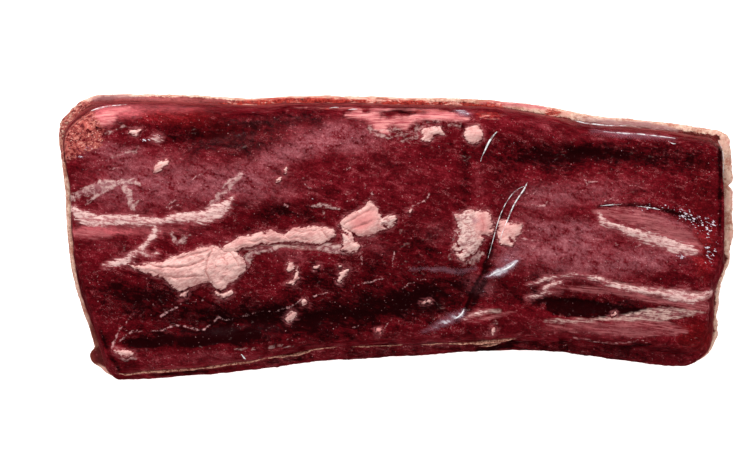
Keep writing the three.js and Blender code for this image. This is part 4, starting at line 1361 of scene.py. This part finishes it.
class Finish:
    """A material and the one method that adds its nodes."""

    def __init__(self, name, **settings):
        self.material = bpy.data.materials.new(name)
        self.material.use_nodes = True
        self.tree = self.material.node_tree
        self.shader = self.tree.nodes["Principled BSDF"]
        self.at = self.node("ShaderNodeTexCoord", {}, {}, "Object")
        for socket, value in settings.items():
            self.shader.inputs[socket.replace("_", " ")].default_value = value

    def node(self, kind, settings, inputs, output=0):
        node = self.tree.nodes.new(kind)
        for name, value in settings.items():
            setattr(node, name, value)
        for name, value in inputs.items():
            if isinstance(value, Signal):
                self.tree.links.new(value.socket, node.inputs[name])
            else:
                node.inputs[name].default_value = value
        return Signal(self, node.outputs[output])

    def feed(self, name, signal):
        self.tree.links.new(signal.socket, self.shader.inputs[name])

    def kept(self, name):
        """A number that the mesh keeps at each vertex."""
        return self.node("ShaderNodeAttribute", {"attribute_name": name}, {}, "Fac")

    def stretched(self, size, turn=0.0, shift=0.0):
        """Object coordinates whose unit is `size` millimetres along each axis, turned about Z."""
        turned = self.node("ShaderNodeMapping", {}, {"Vector": self.at, "Rotation": (0, 0, turn)})
        scale = tuple(1 / (length * MM) for length in size)
        return self.node("ShaderNodeMapping", {},
                         {"Vector": turned, "Scale": scale, "Location": (shift,) * 3})

    def noise(self, size, detail=2.0, rough=0.55, turn=0.0, shift=0.0, bend=0.0):
        """Noise from 0 to 1 whose bumps are about `size` millimetres along each axis."""
        size = size if isinstance(size, tuple) else (size,) * 3
        return self.node("ShaderNodeTexNoise", {}, {
            "Vector": self.stretched(size, turn, shift), "Scale": 1.0, "Detail": detail,
            "Roughness": rough, "Distortion": bend})

    def cells(self, size, turn):
        """Rounded cells of `size` millimetres: 0 at the middle of each, and more towards its rim."""
        return self.node("ShaderNodeTexVoronoi", {},
                         {"Vector": self.stretched((size,) * 3, turn), "Scale": 1.0}, "Distance")

    def mix(self, share, low, high):
        """The colour that goes from low to high with share."""
        return self.node("ShaderNodeMix", {"data_type": "RGBA", "clamp_factor": True},
                         {0: share, 6: low, 7: high}, 2)

    def bump(self, height, depth):
        """Relief of `depth` millimetres where height goes from 0 to 1."""
        self.feed("Normal", self.node("ShaderNodeBump", {}, {"Height": height, "Distance": depth * MM},
                                      "Normal"))


def hairs_of(finish, size, turn, shift, bend, width):
    """Thin curling lines: where a bent noise passes through its middle."""
    return 1 - abs(finish.noise(size, 2, 0.5, turn, shift, bend) - 0.5).above(0, width)


def fibre_of(finish):
    """The meat's fine fibres, which lie nearly along the loin."""
    return finish.noise((2.8, 0.34, 1), 3, 0.6, turn=0.2, shift=11, bend=0.7)


def lean_tones(finish, grain, fine, fibre):
    """The bare lean: smooth and dark, with pale dust and short curling hairs in it, and hazy
    where its skin is stretched. Its hollows are painted darker as shade, and tiny pale glints are painted on
    it."""
    coarse = finish.noise(8, 3)
    patch = finish.noise((5, 2.4, 3), 3, 0.6, turn=0.3, shift=19, bend=0.6)
    spots = finish.noise(0.5, 2, 0.6, shift=13)
    mottle = finish.noise(0.85, 3, 0.7, shift=41)
    weave = finish.noise((0.6, 2.2, 1), 3, 0.6, turn=-0.5, shift=21, bend=1.2)
    dark, haze = finish.kept("dark"), finish.kept("haze")
    lines = (hairs_of(finish, (3.4, 1.5, 2), 0.35, 5, 1.2, 0.02) * (patch - 0.5).above(-0.02, 0.06)
             + hairs_of(finish, (1.5, 3.6, 2), 0.5, 9, 1.4, 0.018) * (0.5 - coarse).above(-0.03, 0.04)
             + hairs_of(finish, (2.4, 2.4, 2), 1.2, 39, 1.8, 0.018) * (0.5 - patch).above(0.0, 0.08))
    lines = lines.above(0.2, 1)
    dust = spots.above(0.48, 0.7) + (weave - 0.5) * haze * 2.2 + mottle.swing(1.3)
    smooth = coarse.swing(0.6) + patch.swing(0.75) + fibre.swing(0.5) + grain.swing(0.5)
    # Painted shade: dark lowers the tone, and dust, hairs and haze fade where it lies
    unshaded = 1 - dark.above(0.3, 1.1) * 0.75
    tone = 0.25 + smooth + haze * 0.18 - dark * 0.46 + (dust * 0.2 + lines * 0.06) * unshaded
    lean = finish.mix(tone.above(-0.15, 0.3), tint(30, 0, 2), tint(86, 3, 12))
    lean = finish.mix(tone.above(0.2, 0.6), lean, tint(122, 22, 34))
    hairs = lines * (1 - dark).above(0.1, 0.9) * (patch - 0.46).above(0, 0.16)
    lean = finish.mix(hairs * 0.5, lean, tint(186, 108, 112))
    film = haze.above(0.1, 1.0) * (0.4 + patch.swing(1.8) + weave.swing(0.8) + mottle.swing(2)) * unshaded
    lean = finish.mix(film * 0.85, lean, tint(164, 98, 106))
    deep = finish.kept("deep") + grain.swing(0.8)
    red = finish.mix(tone.above(0.1, 0.8), tint(88, 5, 8), tint(168, 22, 28))
    lean = finish.mix(deep.above(0.1, 1.1) * 0.7, lean, red)
    lean = finish.mix(tone.above(0.5, 1.0), lean, tint(184, 108, 112))
    # Painted highlights: tiny pale glints on the wet grain
    glint_cells = 1 - finish.cells(1.3, 0.3).above(0.1, 0.2)
    painted_glints = glint_cells * (fine + coarse.swing(0.4) + haze * 0.08 - 0.5).above(0.07, 0.13)
    return finish.mix(painted_glints * 0.7, lean, tint(214, 152, 152))


def overlay_edges(finish, colour, grain, fine, juice_tones):
    """What both the lean and the fat have along their rims: pink bands, juice and foam."""
    streak = finish.noise((6, 0.7, 1), 3, 0.6, shift=23, bend=0.4)
    band = finish.kept("band") * (1 + streak.swing(1.2)) + grain.swing(0.35)
    pale = finish.mix(streak.above(0.35, 0.65), tint(186, 84, 92), tint(224, 146, 143))
    colour = finish.mix(band.above(0.15, 1.0) * 0.92, colour, pale)
    pool = finish.noise((5, 1.6, 2), 3, 0.65, shift=27, bend=0.8)
    juice = finish.kept("juice") * (1 + grain.swing(3) + pool.swing(1.5) + streak.swing(3))
    wet = finish.mix((grain * 0.5 + fine * 0.5).above(0.44, 0.57), *juice_tones[:2])
    wet = finish.mix(pool.above(0.54, 0.64), wet, finish.mix(fine.above(0.4, 0.6), *juice_tones[2:]))
    colour = finish.mix(juice.above(0.3, 1.1) * 0.94, colour, wet)
    froth = finish.noise(1.3, 5, 0.75, shift=37, bend=0.4)
    foam = finish.mix(froth.above(0.38, 0.54), tint(92, 20, 22), tint(166, 76, 70))
    foam = finish.mix((froth + pool.swing(0.4)).above(0.52, 0.66), foam, tint(206, 132, 118))
    foam = finish.mix(finish.kept("salmon").above(0.4, 0.9) * 0.6, foam, tint(214, 108, 98))
    # Painted highlights: pale glints on the foam's bubbles
    bubble_glints = 1 - finish.cells(0.8, 0.7).above(0.12, 0.3)
    foam = finish.mix(bubble_glints * fine.above(0.48, 0.56) * 0.8, foam, tint(244, 208, 194))
    foamy = finish.kept("foam") * (1 + grain.swing(5) + pool.swing(5))
    return finish.mix(foamy.above(0.25, 0.9), colour, foam)


def meat_colours(finish):
    """The wet lean with all that lies in it. Returns its colour and what its relief needs."""
    grain = finish.noise(1.3, 4, 0.65, shift=3)
    fine = finish.noise(0.42, 3, 0.6, shift=7)
    fibre = fibre_of(finish)
    lean = lean_tones(finish, grain, fine, fibre)
    pink = finish.kept("pink") * (0.75 + fibre.swing(1.4) + grain.swing(0.8))
    lean = finish.mix(pink.above(0.1, 1.15) * 0.92, lean, tint(206, 100, 106))
    streak = finish.noise((11, 0.8, 1.5), 4, 0.7, turn=0.11, shift=29, bend=1.0)
    rosy = finish.mix(streak.above(0.34, 0.66), tint(112, 26, 36), tint(186, 108, 110))
    muscle = finish.kept("muscle") * (1 + streak.swing(3) + grain.swing(1.5))
    lean = finish.mix(muscle.above(0.1, 1.2) * 0.7, lean, rosy)
    smear = finish.noise((3.4, 1.9, 2), 4, 0.65, turn=-0.2, shift=17, bend=1.2)
    sheath = finish.kept("sheath") * (1 + streak.swing(2.6) + grain.swing(1.6))
    pale = (streak * 0.5 + smear * 0.5).above(0.42, 0.58)
    silver = finish.mix(pale, tint(136, 74, 78), tint(206, 170, 160))
    lean = finish.mix(sheath.above(0.15, 1.1) * 0.85, lean, silver)
    lean = overlay_edges(finish, lean, grain, fine, MEAT_JUICE)
    veil = finish.kept("veil") + smear.swing(1.8) + grain.swing(0.7)
    pale = finish.mix((smear * 0.5 + grain * 0.5).above(0.42, 0.58), tint(158, 102, 106), tint(214, 176, 170))
    lean = finish.mix(veil.above(0.22, 0.68) * (0.3 + finish.kept("veil") * 0.6), lean, pale)
    thread = finish.kept("thread") + fine.swing(3) + grain.swing(5)
    thread = thread.above(0, 1.2) * (0.2 + (grain - 0.42).above(0, 0.16) * 0.6)
    lean = finish.mix(thread, lean, tint(204, 150, 150))

    strand = finish.noise((4, 0.7, 1), 4, 0.65, turn=0.15, shift=35, bend=0.8)
    rough_edge = grain.swing(3) + fine.swing(1.5)
    depth = finish.kept("fat") + strand.swing(13) + rough_edge
    lean = finish.mix(depth.above(-4.5, 0.5) * 0.5, lean, tint(170, 84, 90))
    fat = depth.above(-0.6, 2.2)
    pale = (strand * 0.65 + grain * 0.35).above(0.4, 0.58)
    lean = finish.mix(fat, lean, finish.mix(pale, tint(172, 104, 106), tint(232, 192, 186)))
    wall = (finish.kept("wall") + grain.swing(0.6)).above(0.2, 1.0)
    layers = finish.noise((14, 14, 1.1), 3, 0.6, shift=31, bend=0.5).above(0.4, 0.62)
    lean = finish.mix(wall * 0.7, lean, finish.mix(layers, tint(84, 16, 20), tint(150, 62, 62)))
    return lean, fat, grain, fine, fibre


def meat_finish():
    """The wet meat."""
    finish = Finish("wet_lean", Roughness=0.34, Specular_IOR_Level=0.05)
    colour, fat, grain, fine, fibre = meat_colours(finish)
    finish.feed("Base Color", colour)
    finish.feed("Roughness", 0.34 + fat * 0.12 + fine.swing(0.3))
    finish.bump(grain * 0.6 + fine * 0.15 + fibre * 0.3, 0.3)
    return finish.material


def fat_finish():
    """Cream fat where the rim is bare; elsewhere the meat's skin runs over it."""
    finish = Finish("back_fat_cream", Roughness=0.45, Specular_IOR_Level=0.12)
    coarse = finish.noise(7, 3)
    grain = finish.noise(1.1, 4, 0.65, shift=4)
    fine = finish.noise(0.4, 3, 0.6, shift=8)
    fibre = fibre_of(finish)
    skin = lean_tones(finish, grain, fine, fibre)
    skin = finish.mix(0.3 + grain.swing(0.9), skin, tint(136, 58, 50))
    pink = finish.kept("pink") * (0.75 + fibre.swing(1.4) + grain.swing(0.8))
    skin = finish.mix(pink.above(0.1, 1.1) * 0.9, skin, tint(204, 104, 104))
    cream = finish.mix((grain * 0.5 + coarse * 0.5).above(0.38, 0.6), tint(176, 108, 90), tint(240, 204, 182))
    cream = finish.mix((coarse - 0.5).above(0.0, 0.15) * 0.6, cream, tint(212, 132, 122))
    layer = finish.noise((16, 16, 1.4), 3, 0.6, shift=43, bend=0.5)
    pale = (layer * 0.5 + coarse * 0.5).above(0.4, 0.58)
    clean = finish.mix(pale, tint(196, 142, 126), tint(224, 188, 168))
    clean = finish.mix((coarse - 0.5).above(0.0, 0.14) * 0.6, clean, tint(190, 106, 100))
    cream = finish.mix(finish.kept("side") * 0.85, cream, clean)
    red_patch = finish.kept("blush") + grain.swing(0.8)
    cream = finish.mix(red_patch.above(0.1, 1.0), cream, tint(118, 46, 36))
    bare = (finish.kept("bare") + grain.swing(1.2) + fine.swing(0.8)).above(0.3, 0.75)
    colour = finish.mix(bare, skin, cream)
    sheath = (finish.kept("sheath") * (1 + fibre.swing(3))).above(0.15, 1.1)
    silver = finish.mix(fibre.above(0.38, 0.62), tint(164, 104, 102), tint(220, 186, 176))
    colour = finish.mix(sheath * 0.8, colour, silver)
    colour = overlay_edges(finish, colour, grain, fine, FAT_JUICE)
    veil = (finish.kept("veil") + grain.swing(0.5)).above(0.2, 0.8)
    colour = finish.mix(veil * 0.7, colour, tint(158, 104, 106))
    finish.feed("Base Color", colour)
    finish.feed("Roughness", 0.42 + fine.swing(0.3))
    finish.bump(grain * 0.8 + fine * 0.25, 0.55)
    return finish.material


def pad_finish():
    """The soft white fat: cream, painted a darker rose in its folds as their shade, and greyish where it is
    thin.
    """
    finish = Finish("soft_fat", Roughness=0.38, Specular_IOR_Level=0.12)
    coarse = finish.noise(5, 3, shift=1)
    grain = finish.noise(1.2, 4, 0.65, shift=3)
    fine = finish.noise(0.42, 3, 0.6, shift=7)
    strand = finish.noise((3.2, 0.8, 1.5), 3, 0.6, turn=-0.35, shift=2, bend=1.4)
    pale = (strand * 0.5 + coarse * 0.3 + grain * 0.2).above(0.41, 0.58)
    cream = finish.mix(pale, tint(202, 140, 136), tint(236, 190, 182))
    rosy = (finish.kept("rosy") + strand.swing(0.9)).above(0.15, 1.1)
    cream = finish.mix(rosy * 0.75, cream, tint(214, 122, 122))
    thin = finish.mix((strand * 0.5 + grain * 0.5).above(0.42, 0.57), tint(150, 96, 98), tint(222, 190, 182))
    cream = finish.mix((finish.kept("grey") + grain.swing(0.9)).above(0.2, 1.1) * 0.75, cream, thin)
    # Painted shade: the folds darkened to a dull rose
    fold = finish.kept("fold") + fine.swing(0.4)
    cream = finish.mix(fold.above(0.35, 1.0) * (coarse - 0.3).above(0, 0.3) * 0.55, cream, tint(184, 100, 98))
    lines = hairs_of(finish, (4, 1.2, 2), -0.3, 15, 1.5, 0.03) * (coarse - 0.42).above(0, 0.15)
    cream = finish.mix(lines * 0.35, cream, tint(196, 118, 114))
    fibre = fibre_of(finish)
    lean = lean_tones(finish, grain, fine, fibre)
    depth = finish.kept("depth") + strand.swing(6) + grain.swing(5)
    lean = finish.mix(depth.above(-1.6, 0.4) * 0.5, lean, tint(168, 84, 88))
    colour = finish.mix(depth.above(-0.3, 1.2), lean, cream)
    finish.feed("Base Color", colour)
    finish.feed("Roughness", 0.36 + fine.swing(0.3))
    finish.bump(grain * 0.4 + fine * 0.2 + strand * 0.25, 0.3)
    return finish.material


def film_finish():
    """Clear film: see-through but for what it mirrors, with painted glare and painted sparkles: pale patches
    and white glints painted where highlights fall.
    """
    finish = Finish("clear_film")
    grain = finish.noise(1.2, 3, 0.6, shift=3)
    fine = finish.noise(0.5, 3, 0.6, shift=9)
    cloud = finish.noise((4, 1.8, 2), 3, 0.6, turn=0.45, shift=33, bend=0.8)
    crisp = finish.noise((1.3, 0.5, 0.7), 2, 0.5, turn=0.4, shift=14)
    # Painted sparkles: small white glints on the film
    painted_sparkles = (finish.kept("sparkle") * 0.2 + crisp * 0.75 + grain.swing(0.5)).above(0.59, 0.68)
    # Painted glare: the film coloured pale where highlights fall
    painted_glare = finish.kept("glare") * (0.95 + cloud.swing(2.4) + grain.swing(0.7))
    edge = finish.node("ShaderNodeLayerWeight", {}, {"Blend": 0.35}, "Facing")
    white = (painted_glare + painted_sparkles).above(0.5, 1.1)
    lit = finish.mix(white, tint(168, 112, 128), tint(238, 228, 238))
    finish.feed("Base Color", finish.mix((painted_glare + painted_sparkles).above(0, 0.15), tint(255, 246, 252), lit))
    finish.feed("Metallic", 1 - (painted_glare + painted_sparkles).above(0, 0.15))
    finish.feed("Roughness", 0.12 + fine.swing(0.1))
    finish.bump(grain * 0.6 + fine * 0.5, 0.16)
    share = 0.004 + edge * edge * 0.07 + painted_glare.above(0.0, 1.1) * 0.66 + painted_sparkles * 0.9
    clear = finish.node("ShaderNodeBsdfTransparent", {}, {})
    mirror_and_glare = Signal(finish, finish.shader.outputs[0])
    mixed = finish.node("ShaderNodeMixShader", {}, {0: share, 1: clear, 2: mirror_and_glare})
    finish.tree.links.new(mixed.socket, finish.tree.nodes["Material Output"].inputs["Surface"])
    return finish.material


def crease_highlight_finish():
    """The film's wrinkles and highlight streaks: painted white highlights, broken by noise where the light
    doesn't catch them.
    """
    finish = Finish("film_crease_highlight", Base_Color=(1, 0.97, 0.98, 1), Roughness=0.2)
    broken = finish.noise(2.6, 3, 0.6, shift=6)
    finish.feed("Alpha", 0.12 + broken.above(0.42, 0.58) * 0.75)
    return finish.material


def lip_finish():
    """The dried tissue of the near lip."""
    finish = Finish("dried_lip", Roughness=0.42, Specular_IOR_Level=0.1)
    grain = finish.noise(1.0, 4, 0.65, shift=5)
    fine = finish.noise(0.4, 3, 0.6, shift=7)
    tan = finish.mix((grain * 0.6 + fine * 0.4).above(0.42, 0.58), tint(122, 52, 42), tint(214, 158, 136))
    finish.feed("Base Color", tan)
    finish.feed("Roughness", 0.4 + fine.swing(0.3))
    finish.bump(grain * 0.7 + fine * 0.3, 0.5)
    return finish.material


# ---------------------------------------------------------------- camera, floor and lights
def make_camera():
    """The photograph's camera."""
    bpy.ops.object.camera_add()
    camera = bpy.context.object
    camera.data.sensor_width = SENSOR
    camera.data.lens = PIXELS_PER_MM * VIEW_DISTANCE / PHOTO[0] * SENSOR
    camera.location = (LOOKED_AT + SHIFT + VIEW_BACK * VIEW_DISTANCE) * MM
    camera.rotation_euler = (math.pi / 2 - VIEW_ELEVATION, 0, 0)
    camera.data.clip_start, camera.data.clip_end = CLIP
    bpy.context.scene.camera = camera


def pale_floor():
    """The floor's matt white, which glows a little."""
    material = bpy.data.materials.new("pale_floor")
    material.use_nodes = True
    shader = material.node_tree.nodes["Principled BSDF"]
    shader.inputs["Base Color"].default_value = (FLOOR_GREY, FLOOR_GREY, FLOOR_GREY, 1)
    shader.inputs["Roughness"].default_value = FLOOR_ROUGHNESS
    shader.inputs["Emission Color"].default_value = (1, 1, 1, 1)
    shader.inputs["Emission Strength"].default_value = FLOOR_GLOW
    return material


def make_floor():
    """The floor, which gloss doesn't show."""
    bpy.ops.mesh.primitive_plane_add(size=FLOOR_SIZE)
    floor = bpy.context.object
    floor.name = "floor"
    floor.data.materials.append(pale_floor())
    floor.visible_glossy = False


def add_light(name, size, watts, azimuth, elevation, glossy=True):
    """A square soft light that looks at the loin. Azimuth 0 is the far side, 90 the right."""
    a, e = math.radians(azimuth), math.radians(elevation)
    at = np.array((math.sin(a) * math.cos(e), math.cos(a) * math.cos(e), math.sin(e)))
    bpy.ops.object.light_add(type="AREA", location=at * LIGHT_DISTANCE)
    light = bpy.context.object
    light.name = name
    light.rotation_euler = (math.pi / 2 - e, 0, math.pi - a)
    light.data.shape = "SQUARE"
    light.data.size = size
    light.data.energy = watts
    light.visible_glossy = glossy


def make_stage():
    """Camera, floor, lights and sky."""
    make_camera()
    make_floor()
    add_light("back_light", size=0.5, watts=20, azimuth=-12, elevation=31, glossy=False)
    add_light("glint_light", size=0.07, watts=1.6, azimuth=-12, elevation=34)
    world = bpy.data.worlds.new("studio")
    bpy.context.scene.world = world
    world.use_nodes = True
    sky = world.node_tree.nodes["Background"]
    sky.inputs["Color"].default_value = (1, 1, 1, 1)
    sky.inputs["Strength"].default_value = SKY_STRENGTH
    world.cycles_visibility.glossy = False
    bpy.context.scene.view_settings.view_transform = "Standard"


make_stage()
lean_meat = make_lean()
back_fat = make_fat()
meat = tree_of((lean_meat, back_fat))
pads = make_pads(meat)
near_lip = make_lip(meat)
vacuum_film = make_film(tree_of((lean_meat, back_fat, *pads, near_lip)))
film_crease_highlights = make_crease_highlights(tree_of((vacuum_film,)))
for piece in (lean_meat, back_fat, *pads, near_lip, vacuum_film, film_crease_highlights):
    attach(piece, "root")
